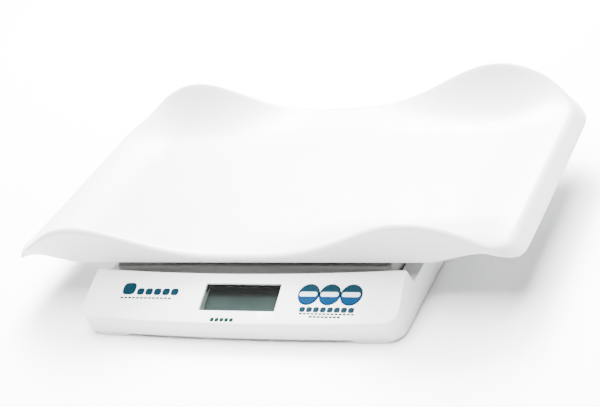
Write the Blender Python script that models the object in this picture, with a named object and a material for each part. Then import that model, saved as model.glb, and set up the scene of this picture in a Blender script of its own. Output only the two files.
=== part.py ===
"""Digital tray scale with a wavy lift-off tray, a sprung platform and a console.

Metres, +Z up.  The origin is on the floor under the middle of the bounding
box: +X runs along the tray, the console faces -Y and the tray is on top.
"""
import math

import bmesh
import bpy
from mathutils import Matrix, Vector

# ---------------------------------------------------------------- sizes
GAP = 0.0003                      # clearance between pieces that touch

# Tray: a thin moulded sheet with a skirt along its long sides and a lip at its ends.
TRAY_Y = 0.020                    # middle of the tray, behind the origin
TRAY_FLOOR = 0.0570               # top of the flat floor
TRAY_SKIN = 0.0024
TRAY_CREST_X = 0.2580             # crest of each end, before the lip turns down
TRAY_CREST_Y = 0.1322             # crest of the long sides at the middle
TRAY_BOW = 0.0090                 # how much further out the humps stand
TRAY_FRONT_CORNER = 0.0180
TRAY_BACK_CORNER = 0.0380
TRAY_END_RISE = 0.0060
TRAY_END_START = 0.190            # where the floor starts to rise towards an end
TRAY_MID_RISE = 0.0035            # rim above the floor at the middle
TRAY_HUMP_RISE = 0.0405
TRAY_HUMP_X = 0.177
TRAY_FALL_X = 0.275
TRAY_FALL_POWER = 1.15
TRAY_END_SHARE = 0.08             # share of the hump that is left at the corners
TRAY_FLAT_SHARE = 0.52            # share of the half depth that stays flat
TRAY_DISH_POWER = 2.2
RIM_OUT = 0.0060                  # roll of the rim past its crest
RIM_DROP = 0.0045
SKIRT_Y = 0.1355                  # bottom edge of the skirt
SKIRT_Z = 0.0515
SKIRT_LIFT = 0.0095               # rise of that edge before the corners
SKIRT_LIFT_START = 0.185
SKIRT_LIFT_END = 0.242
LIP_OUT = 0.0155
LIP_DROP = 0.0135
LIP_ROLL_OUT = 0.0080

# Platform under the tray.
PLATFORM_X = 0.1500
PLATFORM_FRONT = -0.1135
PLATFORM_BACK = 0.1280
PLATFORM_TOP = 0.0460
PLATFORM_BOTTOM = 0.0260
PLATFORM_WALL = 0.0025
PLATFORM_CORNER = 0.0065
STUD_X = 0.105
STUD_FRONT = -0.070
STUD_BACK = 0.095

# Base cover: side walls with a ledge, and the sloping console along the front.
COVER_X_FOOT = 0.1692
COVER_X_WIDE = 0.1712
COVER_X_HIGH = 0.1665
COVER_BACK = 0.1480
COVER_CORNER = 0.0200
COVER_FRONT_CORNER = 0.0150
COVER_CORNER_TOP = 0.0070
CONSOLE_BOW = 0.0048              # how much further forward the console stands at the middle
COVER_WALL = 0.0025
COVER_BOTTOM = 0.0035
LEDGE_TOP = 0.0300
CONSOLE_TOP_Y = -0.1175
CONSOLE_TOP_Z = 0.0460
CONSOLE_BEND_Y = -0.1655
CONSOLE_BEND_Z = 0.0255
NOSE_Y = -0.1682
NOSE_Z = 0.0222                    # top of the band below the panel
NOSE_SLOPE = math.radians(80)
NOSE_FOOT_Y = -0.1645
OPENING_X = 0.1520
OPENING_BACK = 0.1300
OPENING_CORNER = 0.0085

# Panel: x along the console, y up its slope, z out of its face.
PANEL_SLOPE = math.atan2(CONSOLE_TOP_Z - CONSOLE_BEND_Z, CONSOLE_TOP_Y - CONSOLE_BEND_Y)
PANEL_Y = -0.1450
PANEL_Z = CONSOLE_BEND_Z + (PANEL_Y - CONSOLE_BEND_Y) * math.tan(PANEL_SLOPE)
WINDOW_X = 0.0060
WINDOW_UP = -0.0010                # from the panel's middle, up its slope
WINDOW_W = 0.0810
WINDOW_H = 0.0288
BUTTON_X = 0.0773                 # first button
BUTTON_UP = 0.0029
BUTTON_STEP = 0.0215
BUTTON_R = 0.01045
BUTTON_HOLE_R = 0.01095
BUTTON_PROUD = 0.0006
BUTTON_NAMES = ("button_hold", "button_tare", "button_power")
BOARD_DEPTH = 0.0112              # face of the board below the panel face
BOARD_THICK = 0.0016

# Base plate, feet and fasteners.
PLATE_BOTTOM = 0.0045
PLATE_TOP = 0.0070
PAD_BOTTOM = 0.0008
PAD_SIZE = 0.0600
PAD_RAMP = 0.0045                  # slope of its inner sides
FOOT_R = 0.0120
FOOT_X = 0.1400
FOOT_FRONT = -0.1330
FOOT_BACK = 0.1170
CASE_SCREWS = ((-0.159, -0.085), (0.159, -0.085), (-0.159, 0.075),
               (0.159, 0.075), (-0.060, 0.138), (0.060, 0.138))

# Load cell across the middle.
CELL_Y = 0.0070
CELL_LENGTH = 0.0800
CELL_SIDE = 0.0127
CELL_BOTTOM = 0.0171
SPACER_THICK = 0.0020
BRACKET_THICK = 0.0020
PEDESTAL_TOP = 0.0145
CELL_HOLES = (0.020, 0.035)       # screw places from the middle of the cell

# Battery bay behind the load cell.
BAY_X = 0.0750
BAY_Y = 0.0750
BATTERY_R = 0.0071
BATTERY_LENGTH = 0.0500
BATTERY_STEP = 0.0148
BAY_LENGTH = 0.0570
BAY_WIDTH = 0.0610
BAY_WALL = 0.0016
BAY_HEIGHT = 0.0170
DOOR_THICK = 0.0015


# ---------------------------------------------------------------- helpers
def clear_scene():
    for old in list(bpy.data.objects):
        bpy.data.objects.remove(old, do_unlink=True)


def finish_of(name, colour, roughness, metallic=0.0):
    """A Principled material, made once for each name."""
    made = bpy.data.materials.get(name)
    if made:
        return made
    made = bpy.data.materials.new(name)
    made.use_nodes = True
    shader = made.node_tree.nodes["Principled BSDF"]
    shader.inputs["Base Color"].default_value = (*colour, 1.0)
    shader.inputs["Roughness"].default_value = roughness
    shader.inputs["Metallic"].default_value = metallic
    return made


def white_plastic():
    return finish_of("white_abs", (0.86, 0.86, 0.85), 0.30)


def steel():
    return finish_of("plated_steel", (0.62, 0.62, 0.64), 0.32, 1.0)


def grey_plastic():
    return finish_of("mid_grey_abs", (0.42, 0.42, 0.41), 0.45)


def rubber():
    return finish_of("grey_rubber", (0.12, 0.12, 0.13), 0.80)


def object_from(bm, name, finish, smooth=True):
    """Turn a bmesh into a named object with outward faces."""
    bmesh.ops.recalc_face_normals(bm, faces=bm.faces)
    mesh = bpy.data.meshes.new(name)
    bm.to_mesh(mesh)
    bm.free()
    if smooth:
        mesh.shade_smooth()
        mesh.set_sharp_from_angle(angle=math.radians(35))
    made = bpy.data.objects.new(name, mesh)
    bpy.context.scene.collection.objects.link(made)
    made.data.materials.append(finish)
    return made


def add_box(bm, low, high):
    """A box between two corners."""
    size = [b - a for a, b in zip(low, high)]
    middle = [(a + b) / 2 for a, b in zip(low, high)]
    place = Matrix.Translation(middle) @ Matrix.Diagonal((*size, 1.0))
    return bmesh.ops.create_cube(bm, size=1.0, matrix=place)["verts"]


def add_rod(bm, radius, low, high, place=(0.0, 0.0), sides=20, radius_top=None):
    """An upright rod or cone between two heights."""
    matrix = Matrix.Translation((place[0], place[1], (low + high) / 2))
    top = radius if radius_top is None else radius_top
    return bmesh.ops.create_cone(bm, cap_ends=True, segments=sides, radius1=radius,
                                 radius2=top, depth=high - low, matrix=matrix)["verts"]


def add_loft(bm, rings, cap=True):
    """Bridge closed rings that have the same number of points."""
    made = [[bm.verts.new(point) for point in ring] for ring in rings]
    count = len(made[0])
    for lower, upper in zip(made, made[1:]):
        for i in range(count):
            j = (i + 1) % count
            bm.faces.new((lower[i], lower[j], upper[j], upper[i]))
    if cap:
        bm.faces.new(list(reversed(made[0])))
        bm.faces.new(made[-1])
    return made


def add_turned(bm, profile, sides=20, place=(0.0, 0.0)):
    """Turn a list of (radius, height) points, from the bottom up, about Z."""
    rings = []
    for radius, height in profile:
        rings.append([(place[0] + radius * math.cos(2 * math.pi * i / sides),
                       place[1] + radius * math.sin(2 * math.pi * i / sides), height)
                      for i in range(sides)])
    add_loft(bm, rings)


def rounded_rectangle(x0, x1, y0, y1, radius, steps=5, front_radius=None):
    """Outline of a rectangle with round corners, counter-clockwise from the front right."""
    front = radius if front_radius is None else front_radius
    corners = ((x1, y0, -90, front), (x1, y1, 0, radius), (x0, y1, 90, radius),
               (x0, y0, 180, front))
    points = []
    for x, y, start, r in corners:
        cx = x - math.copysign(r, x - x0 - x1 + x)
        cy = y - math.copysign(r, y - y0 - y1 + y)
        for i in range(steps + 1):
            angle = math.radians(start + 90.0 * i / steps)
            points.append((cx + r * math.cos(angle), cy + r * math.sin(angle)))
    return points


def console_bow(x):
    """How far the console's front lies ahead of its ends."""
    return CONSOLE_BOW * max(1.0 - (x / COVER_X_WIDE) ** 2, 0.0)


def bowed_front(outline, steps=10):
    """Add points along the front edge of an outline and bow it forward."""
    last = outline[-1]
    first = outline[0]
    points = list(outline)
    for i in range(1, steps):
        points.append((last[0] + (first[0] - last[0]) * i / steps, first[1]))
    return [(x, y - console_bow(x) if y < CONSOLE_TOP_Y else y) for x, y in points]


def add_prism(bm, outline, low, high):
    add_loft(bm, [[(x, y, low) for x, y in outline], [(x, y, high) for x, y in outline]])


def combine(target, tool_bm, operation):
    """Join or cut a solid with another one."""
    tool = object_from(tool_bm, target.name + "_tool", target.data.materials[0], smooth=False)
    change = target.modifiers.new(operation.lower(), "BOOLEAN")
    change.operation = operation
    change.object = tool
    change.solver = "EXACT"
    bpy.context.view_layer.objects.active = target
    bpy.ops.object.modifier_apply(modifier=change.name)
    bpy.data.objects.remove(tool, do_unlink=True)
    target.data.set_sharp_from_angle(angle=math.radians(35))


def cut(target, tool_bm):
    combine(target, tool_bm, "DIFFERENCE")


def join(target, tool_bm):
    combine(target, tool_bm, "UNION")


def keep_common(target, tool_bm):
    combine(target, tool_bm, "INTERSECT")


def smooth_step(value):
    value = min(max(value, 0.0), 1.0)
    return value * value * (3.0 - 2.0 * value)


def place_on_panel(piece, x=0.0, up=0.0):
    """Lay a piece made in panel coordinates on the console's slope."""
    piece.location = (x, PANEL_Y + up * math.cos(PANEL_SLOPE), PANEL_Z + up * math.sin(PANEL_SLOPE))
    piece.rotation_euler = (PANEL_SLOPE, 0.0, 0.0)


# ---------------------------------------------------------------- tray
def hump_share(x):
    """0 at the middle of the tray, 1 at a hump, low again at the corners."""
    x = abs(x)
    if x <= TRAY_HUMP_X:
        return 0.5 - 0.5 * math.cos(math.pi * (x / TRAY_HUMP_X) ** 1.5)
    fall = min((x - TRAY_HUMP_X) / (TRAY_FALL_X - TRAY_HUMP_X), 1.0) ** TRAY_FALL_POWER
    return TRAY_END_SHARE + (1.0 - TRAY_END_SHARE) * (0.5 + 0.5 * math.cos(math.pi * fall))


def crest_depth(x):
    return TRAY_CREST_Y + TRAY_BOW * hump_share(x)


def tray_height(x, y):
    """Height of the tray's upper face, y from the middle of the tray."""
    run = TRAY_CREST_X - TRAY_END_START
    end_rise = TRAY_END_RISE * smooth_step((abs(x) - TRAY_END_START) / run)
    rim_rise = TRAY_MID_RISE + (TRAY_HUMP_RISE - TRAY_MID_RISE) * hump_share(x)
    share = (abs(y) / crest_depth(x) - TRAY_FLAT_SHARE) / (1.0 - TRAY_FLAT_SHARE)
    side_rise = max(rim_rise - end_rise, 0.0) * max(share, 0.0) ** TRAY_DISH_POWER
    return TRAY_FLOOR + end_rise + side_rise


def tray_crest_line(long_steps, short_steps, corner_steps):
    """Crest points with their outward directions, counter-clockwise from the front."""
    front_end = TRAY_FRONT_CORNER - TRAY_CREST_Y
    back_end = TRAY_CREST_Y - TRAY_BACK_CORNER
    corners = ((1, -1, -90, TRAY_FRONT_CORNER), (1, 1, 0, TRAY_BACK_CORNER),
               (-1, 1, 90, TRAY_BACK_CORNER), (-1, -1, 180, TRAY_FRONT_CORNER))
    points = []
    for index, (sx, sy, start, radius) in enumerate(corners):
        cx = sx * (TRAY_CREST_X - radius)
        cy = sy * (TRAY_CREST_Y - radius)
        for i in range(corner_steps + 1):
            angle = math.radians(start + 90.0 * i / corner_steps)
            along = (math.cos(angle), math.sin(angle))
            points.append((cx + radius * along[0], cy + radius * along[1], along))
        if index % 2 == 0:
            for i in range(1, short_steps):
                share = i / short_steps if sx > 0 else 1.0 - i / short_steps
                y = front_end + (back_end - front_end) * share
                points.append((sx * TRAY_CREST_X, y, (float(sx), 0.0)))
        else:
            for i in range(1, long_steps):
                points.append((cx * (1.0 - 2.0 * i / long_steps), sy * TRAY_CREST_Y,
                               (0.0, float(sy))))
    bowed = []
    for x, y, along in points:
        reach = abs(y) / TRAY_CREST_Y
        bowed.append((x, y + math.copysign(TRAY_BOW * hump_share(x) * reach, y), along))
    return bowed


def rim_profile(x, y, along):
    """Roll and skirt outside a crest point, as (outward, height) key points."""
    crest = tray_height(x, y)
    facing_end = math.degrees(math.atan2(abs(along[1]), abs(along[0])))
    lip = smooth_step((84.0 - facing_end) / 78.0)
    lift = smooth_step((abs(x) - SKIRT_LIFT_START) / (SKIRT_LIFT_END - SKIRT_LIFT_START))
    skirt_out = (SKIRT_Y - abs(y)) * abs(along[1]) ** 2
    skirt_z = min(SKIRT_Z + SKIRT_LIFT * lift, crest - RIM_DROP - 0.002)
    roll = (RIM_OUT + (LIP_ROLL_OUT - RIM_OUT) * lip, crest - RIM_DROP)
    edge = (skirt_out + (LIP_OUT - skirt_out) * lip,
            skirt_z + (crest - LIP_DROP - skirt_z) * lip)
    return crest, roll, edge


def bezier(p0, p1, p2, p3, t):
    s = 1.0 - t
    return tuple(s ** 3 * a + 3 * s * s * t * b + 3 * s * t * t * c + t ** 3 * d
                 for a, b, c, d in zip(p0, p1, p2, p3))


def rim_points(x, y, along, roll_steps):
    """Points from just past the crest to the bottom edge of the skirt or lip."""
    crest, roll, edge = rim_profile(x, y, along)
    probe = 0.002
    inner = tray_height(x - along[0] * probe, y - along[1] * probe)
    rise = (crest - inner) / probe
    scale = math.hypot(1.0, rise)
    start = (1.0 / scale, rise / scale)
    run = (edge[0] - roll[0], edge[1] - roll[1])
    length = math.hypot(*run)
    reach = 0.55 * (roll[0] + RIM_DROP) * 0.5
    p1 = (start[0] * reach, crest + start[1] * reach)
    p2 = (roll[0] - run[0] / length * reach, roll[1] - run[1] / length * reach)
    points = []
    for i in range(1, roll_steps + 1):
        out, height = bezier((0.0, crest), p1, p2, roll, i / roll_steps)
        points.append((x + along[0] * out, y + along[1] * out, height))
    middle = ((roll[0] + edge[0]) / 2, (roll[1] + edge[1]) / 2)
    for out, height in (middle, edge):
        points.append((x + along[0] * out, y + along[1] * out, height))
    return points


def make_tray():
    crest = tray_crest_line(long_steps=22, short_steps=6, corner_steps=6)
    shares = (0.30, 0.52, 0.64, 0.76, 0.86, 0.94, 1.0)
    bm = bmesh.new()
    rings = []
    for share in shares:
        ring = []
        for x, y, along in crest:
            px = x * share
            py = y * share
            ring.append((px, py, tray_height(px, py)))
        rings.append(ring)
    outer = [rim_points(x, y, along, 3) for x, y, along in crest]
    rings.extend([[points[i] for points in outer] for i in range(len(outer[0]))])
    made = add_loft(bm, rings, cap=False)
    bm.faces.new(list(reversed(made[0])))
    bmesh.ops.triangulate(bm, faces=[f for f in bm.faces if len(f.verts) > 4])
    bmesh.ops.translate(bm, verts=bm.verts, vec=(0.0, TRAY_Y, 0.0))
    bmesh.ops.recalc_face_normals(bm, faces=bm.faces)
    if sum(face.normal.z * face.calc_area() for face in bm.faces) < 0:
        bmesh.ops.reverse_faces(bm, faces=bm.faces)
    bmesh.ops.solidify(bm, geom=bm.faces, thickness=TRAY_SKIN)
    tray = object_from(bm, "tray", white_plastic())
    bosses = bmesh.new()
    for x, y in stud_places():
        add_rod(bosses, 0.011, 0.0500, TRAY_FLOOR - TRAY_SKIN / 2, (x, y), 18)
    join(tray, bosses)
    holes = bmesh.new()
    for x, y in stud_places():
        add_rod(holes, 0.0045, 0.0490, 0.0550, (x, y), 16)
    cut(tray, holes)


def stud_places():
    return [(sx * STUD_X, y) for sx in (-1, 1) for y in (STUD_FRONT, STUD_BACK)]


def make_studs():
    """Rubber studs that locate the tray on the platform."""
    for index, (x, y) in enumerate(stud_places()):
        bm = bmesh.new()
        profile = ((0.0030, 0.0418), (0.0040, 0.0426), (0.0040, PLATFORM_TOP + GAP),
                   (0.0095, PLATFORM_TOP + GAP), (0.0095, 0.0500 - GAP),
                   (0.0042, 0.0500 - GAP), (0.0042, 0.0540))
        add_turned(bm, profile, 16, (x, y))
        object_from(bm, "tray_stud_%d" % (index + 1), rubber())


# ---------------------------------------------------------------- platform
def bracket_screw_places():
    return [(sx * 0.080, CELL_Y + sy * 0.042) for sx in (-1, 1) for sy in (-1, 1)]


def make_platform_cover():
    bm = bmesh.new()
    edge = 0.0035
    outline = rounded_rectangle(-PLATFORM_X, PLATFORM_X, PLATFORM_FRONT, PLATFORM_BACK,
                                PLATFORM_CORNER)
    middle = ((PLATFORM_FRONT + PLATFORM_BACK) / 2)

    def ring(inset, height):
        half_y = (PLATFORM_BACK - PLATFORM_FRONT) / 2
        return [(x * (1 - inset / PLATFORM_X), middle + (y - middle) * (1 - inset / half_y), height)
                for x, y in outline]

    rings = [ring(0.0, PLATFORM_BOTTOM), ring(0.0, PLATFORM_TOP - edge)]
    for i in (1, 2):
        angle = math.radians(45 * i)
        rings.append(ring(edge * (1 - math.cos(angle)), PLATFORM_TOP - edge * (1 - math.sin(angle))))
    add_loft(bm, rings)
    cover = object_from(bm, "platform_cover", grey_plastic())
    hollow = bmesh.new()
    inner = rounded_rectangle(-PLATFORM_X + PLATFORM_WALL, PLATFORM_X - PLATFORM_WALL,
                              PLATFORM_FRONT + PLATFORM_WALL, PLATFORM_BACK - PLATFORM_WALL,
                              PLATFORM_CORNER - PLATFORM_WALL)
    add_prism(hollow, inner, PLATFORM_BOTTOM - 0.002, PLATFORM_TOP - PLATFORM_WALL)
    cut(cover, hollow)
    bosses = bmesh.new()
    for x, y in bracket_screw_places():
        add_rod(bosses, 0.0045, bracket_top() + GAP, PLATFORM_TOP - 0.001, (x, y), 14)
    join(cover, bosses)
    holes = bmesh.new()
    for x, y in stud_places():
        add_rod(holes, 0.0045, PLATFORM_TOP - 0.004, PLATFORM_TOP + 0.002, (x, y), 16)
    for x, y in bracket_screw_places():
        add_rod(holes, 0.0018, bracket_top() - 0.002, PLATFORM_TOP - 0.0035, (x, y), 12)
    cut(cover, holes)


def cell_top():
    return CELL_BOTTOM + CELL_SIDE


def bracket_bottom():
    return cell_top() + GAP + SPACER_THICK + GAP


def bracket_top():
    return bracket_bottom() + BRACKET_THICK


def make_platform_bracket():
    """Pressed steel plate with stiffening flanges along both sides."""
    half_x = 0.100
    half_y = 0.055
    flange = 0.0050
    low = bracket_bottom()
    high = bracket_top()
    bm = bmesh.new()
    add_box(bm, (-half_x, CELL_Y - half_y, low), (half_x, CELL_Y + half_y, high))
    bracket = object_from(bm, "platform_bracket", steel(), smooth=False)
    flanges = bmesh.new()
    for side in (-1, 1):
        edge = CELL_Y + side * half_y
        inner = edge - side * BRACKET_THICK
        add_box(flanges, (-half_x, min(edge, inner), low), (half_x, max(edge, inner), high + flange))
    join(bracket, flanges)
    holes = bmesh.new()
    for x, y in bracket_screw_places():
        add_rod(holes, 0.0019, low - 0.002, high + 0.002, (x, y), 12)
    for x in CELL_HOLES:
        add_rod(holes, 0.0028, low - 0.002, high + 0.002, (x, CELL_Y), 12)
    cut(bracket, holes)


def make_screw(name, place, head_radius, head, shank_radius, shank, finish=None):
    """A pan-head screw; head and shank are (low, high) heights that meet."""
    bm = bmesh.new()
    if head[0] > shank[0]:
        rise = head[1] - head[0]
        profile = ((shank_radius * 0.6, shank[0]), (shank_radius, shank[0] + 0.0008),
                   (shank_radius, head[0]), (head_radius, head[0]),
                   (head_radius, head[0] + rise * 0.55), (head_radius * 0.7, head[1]))
    else:
        rise = head[1] - head[0]
        profile = ((head_radius * 0.7, head[0]), (head_radius, head[0] + rise * 0.45),
                   (head_radius, head[1]), (shank_radius, head[1]),
                   (shank_radius, shank[1] - 0.0008), (shank_radius * 0.6, shank[1]))
    add_turned(bm, profile, 10, place)
    object_from(bm, name, finish or steel())


def make_bracket_screws():
    low = bracket_bottom() - GAP
    for index, place in enumerate(bracket_screw_places()):
        make_screw("platform_screw_%d" % (index + 1), place, 0.0034, (low - 0.0020, low),
                   0.0015, (low, PLATFORM_TOP - 0.0042))


# ---------------------------------------------------------------- load cell
def make_load_cell():
    half = CELL_LENGTH / 2
    side = CELL_SIDE / 2
    middle = CELL_BOTTOM + side
    finish = finish_of("machined_aluminium", (0.70, 0.71, 0.73), 0.38, 1.0)
    bm = bmesh.new()
    add_box(bm, (-half, CELL_Y - side, CELL_BOTTOM), (half, CELL_Y + side, cell_top()))
    cell = object_from(bm, "load_cell", finish, smooth=False)
    slot = bmesh.new()
    add_box(slot, (-0.007, CELL_Y - side - 0.002, middle - 0.0030),
            (0.007, CELL_Y + side + 0.002, middle + 0.0030))
    cut(cell, slot)
    holes = bmesh.new()
    turn = Matrix.Rotation(math.radians(90), 4, "X")
    for x in (-0.007, 0.007):
        place = Matrix.Translation((x, CELL_Y, middle)) @ turn
        bmesh.ops.create_cone(holes, cap_ends=True, segments=16, radius1=0.0050,
                              radius2=0.0050, depth=CELL_SIDE + 0.004, matrix=place)
    for x in CELL_HOLES:
        add_rod(holes, 0.0027, CELL_BOTTOM - 0.002, CELL_BOTTOM + 0.009, (-x, CELL_Y), 12)
        add_rod(holes, 0.0027, cell_top() - 0.009, cell_top() + 0.002, (x, CELL_Y), 12)
    cut(cell, holes)


def make_gauge_cover():
    """White sealant pads over the strain gauges, moulded as one cap on the cell's side."""
    side = CELL_Y - CELL_SIDE / 2 - GAP
    middle = CELL_BOTTOM + CELL_SIDE / 2
    bm = bmesh.new()
    add_box(bm, (-0.0150, side - 0.0018, middle - 0.0055), (0.0150, side, middle + 0.0055))
    bmesh.ops.bevel(bm, geom=bm.edges, offset=0.0006, segments=1, affect="EDGES")
    object_from(bm, "gauge_cover", finish_of("sealant", (0.80, 0.80, 0.76), 0.6), smooth=False)


def make_cell_spacers():
    half = 0.0130
    middle = sum(CELL_HOLES) / 2
    sets = (("cell_spacer_base", -middle, PEDESTAL_TOP + GAP, -1),
            ("cell_spacer_top", middle, cell_top() + GAP, 1))
    for name, x, low, side in sets:
        bm = bmesh.new()
        add_box(bm, (x - half, CELL_Y - 0.0075, low), (x + half, CELL_Y + 0.0075, low + SPACER_THICK))
        spacer = object_from(bm, name, steel(), smooth=False)
        holes = bmesh.new()
        for place in CELL_HOLES:
            add_rod(holes, 0.0028, low - 0.002, low + SPACER_THICK + 0.002,
                    (side * place, CELL_Y), 12)
        cut(spacer, holes)


def make_cell_screws():
    head_low = PLATE_BOTTOM + 0.0010
    head_high = PLATE_BOTTOM + 0.0040
    for index, x in enumerate(CELL_HOLES):
        make_screw("cell_screw_base_%d" % (index + 1), (-x, CELL_Y), 0.0042,
                   (head_low, head_high), 0.0023, (head_high, CELL_BOTTOM + 0.0080))
        low = bracket_top() + GAP
        make_screw("cell_screw_top_%d" % (index + 1), (x, CELL_Y), 0.0042,
                   (low, low + 0.0034), 0.0023, (cell_top() - 0.0080, low))


def smooth_route(points, steps):
    """Points along a Catmull-Rom curve through a route's own points."""
    ends = [points[0] * 2 - points[1]] + points + [points[-1] * 2 - points[-2]]
    route = []
    for i in range(1, len(ends) - 2):
        a, b, c, d = ends[i - 1:i + 3]
        for k in range(steps):
            t = k / steps
            route.append(0.5 * ((2 * b) + (c - a) * t + (2 * a - 5 * b + 4 * c - d) * t * t
                                + (3 * b - a - 3 * c + d) * t ** 3))
    route.append(points[-1])
    return route


def make_cell_cable():
    """Lead from the strain gauges to the board, inside the base."""
    start = CELL_Y - CELL_SIDE / 2 - GAP - 0.0018 - 0.0016
    points = [Vector(p) for p in ((0.0, start, 0.0235), (0.0, start - 0.010, 0.0200),
                                  (0.002, -0.040, 0.0105), (0.006, -0.070, 0.0095),
                                  (0.010, -0.100, 0.0100), (0.014, -0.122, 0.0140),
                                  (0.015, -0.1310, 0.0190))]
    curve = bpy.data.curves.new("cell_cable", "CURVE")
    curve.dimensions = "3D"
    curve.bevel_depth = 0.0012
    curve.bevel_resolution = 2
    curve.use_fill_caps = True
    route = smooth_route(points, 4)
    spline = curve.splines.new("POLY")
    spline.points.add(len(route) - 1)
    for point, place in zip(spline.points, route):
        point.co = (*place, 1.0)
    cable = bpy.data.objects.new("cell_cable", curve)
    bpy.context.scene.collection.objects.link(cable)
    curve.materials.append(finish_of("grey_pvc", (0.35, 0.35, 0.36), 0.5))


# ---------------------------------------------------------------- base cover
def side_profile(inset):
    """Outline of the base in Y and Z, moved in by a wall; inset 0 is the outer face."""
    slope = PANEL_SLOPE
    foot = (NOSE_FOOT_Y + inset, COVER_BOTTOM)
    nose = (NOSE_Y + inset, NOSE_Z - inset * 0.5)
    drop = inset / math.cos(slope)
    bend = (CONSOLE_BEND_Y + inset * 0.4, CONSOLE_BEND_Z - drop + inset * 0.4 * math.tan(slope))
    steep = math.tan(NOSE_SLOPE)
    corner_y = ((bend[1] - nose[1] - bend[0] * math.tan(slope) + nose[0] * steep)
                / (steep - math.tan(slope)))
    corner = (corner_y, nose[1] + (corner_y - nose[0]) * steep)
    points = [foot]
    steps = 7
    for i in range(steps + 1):
        t = i / steps
        s = 1.0 - t
        points.append(tuple(s * s * a + 2 * s * t * b + t * t * c
                            for a, b, c in zip(nose, corner, bend)))
    top_y = CONSOLE_TOP_Y - (0.0 if inset else 0.0015)
    top_z = bend[1] + (top_y - bend[0]) * math.tan(slope)
    points.append((top_y, top_z))
    if not inset:
        points.append((CONSOLE_TOP_Y, top_z - 0.0003))
    points.append((CONSOLE_TOP_Y + 0.0025 - inset, LEDGE_TOP - inset))
    points.append((COVER_BACK - 0.0020 - inset, LEDGE_TOP - inset))
    points.append((COVER_BACK - inset, COVER_BOTTOM))
    return points


def bowed_point(x, y, z):
    """Move a point of the console forward and, as its panel stays flat, down as well."""
    if y > CONSOLE_TOP_Y + 0.004:
        return (x, y, z)
    bow = console_bow(x)
    on_panel = min(max((z - COVER_BOTTOM) / (NOSE_Z - COVER_BOTTOM), 0.0), 1.0)
    if y > CONSOLE_TOP_Y - 0.0005 and z < CONSOLE_TOP_Z - 0.008:
        on_panel = 0.0
    return (x, y - bow, z - bow * math.tan(PANEL_SLOPE) * on_panel)


def add_cover_body(bm, inset):
    """The cover's side outline drawn out along X."""
    profile = side_profile(inset)
    if inset:
        profile[0] = (profile[0][0], COVER_BOTTOM - 0.002)
        profile[-1] = (profile[-1][0], COVER_BOTTOM - 0.002)
    width = COVER_X_WIDE + 0.002
    stations = 14
    rings = []
    for i in range(stations + 1):
        x = width * (2.0 * i / stations - 1.0)
        rings.append([bowed_point(x, y, z) for y, z in profile])
    add_loft(bm, rings)


def add_plan_body(bm, inset):
    """Drafted block with round corners that trims the cover's ends."""
    rings = []
    for height, half, edge, corner in ((-0.001, COVER_X_FOOT - 0.0002, NOSE_FOOT_Y, COVER_FRONT_CORNER),
                                       (NOSE_Z, COVER_X_WIDE, NOSE_Y, COVER_FRONT_CORNER + 0.002),
                                       (0.050, COVER_X_HIGH - 0.0004, NOSE_Y, COVER_CORNER_TOP)):
        outline = rounded_rectangle(-half + inset, half - inset, edge - 0.0005 + inset,
                                    COVER_BACK + 0.0005 - inset, COVER_CORNER - inset,
                                    front_radius=corner - inset)
        rings.append([(x, y, height) for x, y in bowed_front(outline)])
    add_loft(bm, rings)


def panel_tool(local_bm):
    """Move a tool from panel coordinates into place."""
    place = Matrix.Translation((0.0, PANEL_Y, PANEL_Z)) @ Matrix.Rotation(PANEL_SLOPE, 4, "X")
    bmesh.ops.transform(local_bm, matrix=place, verts=local_bm.verts)
    return local_bm


def make_base_cover():
    bm = bmesh.new()
    add_cover_body(bm, 0.0)
    cover = object_from(bm, "base_cover", white_plastic())
    ends = bmesh.new()
    add_plan_body(ends, 0.0)
    keep_common(cover, ends)

    room_bm = bmesh.new()
    add_cover_body(room_bm, COVER_WALL)
    room = object_from(room_bm, "base_room", white_plastic())
    room_ends = bmesh.new()
    add_plan_body(room_ends, COVER_WALL)
    keep_common(room, room_ends)
    posts = bmesh.new()
    for place in CASE_SCREWS:
        add_rod(posts, 0.0042, PLATE_TOP + GAP, 0.060, place, 14)
    cut(room, posts)
    pilots = bmesh.new()
    for place in CASE_SCREWS:
        add_rod(pilots, 0.0018, 0.0040, 0.0165, place, 12)
    hollow = bmesh.new()
    hollow.from_mesh(room.data)
    bpy.data.objects.remove(room, do_unlink=True)
    cut(cover, hollow)
    cut(cover, pilots)

    opening = bmesh.new()
    front = CONSOLE_TOP_Y + 0.0026
    add_prism(opening, rounded_rectangle(-OPENING_X, OPENING_X, front, OPENING_BACK,
                                         OPENING_CORNER), 0.024, 0.060)
    cut(cover, opening)

    window = bmesh.new()
    add_prism(window, rounded_rectangle(WINDOW_X - WINDOW_W / 2, WINDOW_X + WINDOW_W / 2,
                                        WINDOW_UP - WINDOW_H / 2, WINDOW_UP + WINDOW_H / 2,
                                        0.0010, 2), -0.006, 0.004)
    cut(cover, panel_tool(window))
    for i in range(3):
        hole = bmesh.new()
        add_rod(hole, BUTTON_HOLE_R, -0.006, 0.004, (BUTTON_X + i * BUTTON_STEP, BUTTON_UP), 28)
        cut(cover, panel_tool(hole))


# ---------------------------------------------------------------- base plate
def pedestal_screw_places():
    return [(-x, CELL_Y) for x in CELL_HOLES]


def pad_outline(sx, sy, inset, height):
    """Outline of a foot pad under a corner; the inset shortens it on its inner sides."""
    x_out = sx * (COVER_X_FOOT - 0.0010)
    y_out = NOSE_FOOT_Y + 0.0003 if sy < 0 else COVER_BACK - 0.0012
    x_in = x_out - sx * (PAD_SIZE - inset)
    y_in = y_out - sy * (PAD_SIZE - inset)
    outline = rounded_rectangle(min(x_out, x_in), max(x_out, x_in), min(y_out, y_in),
                                max(y_out, y_in), COVER_FRONT_CORNER, 4)
    return [(x, y, height) for x, y in bowed_front(outline)]


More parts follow.
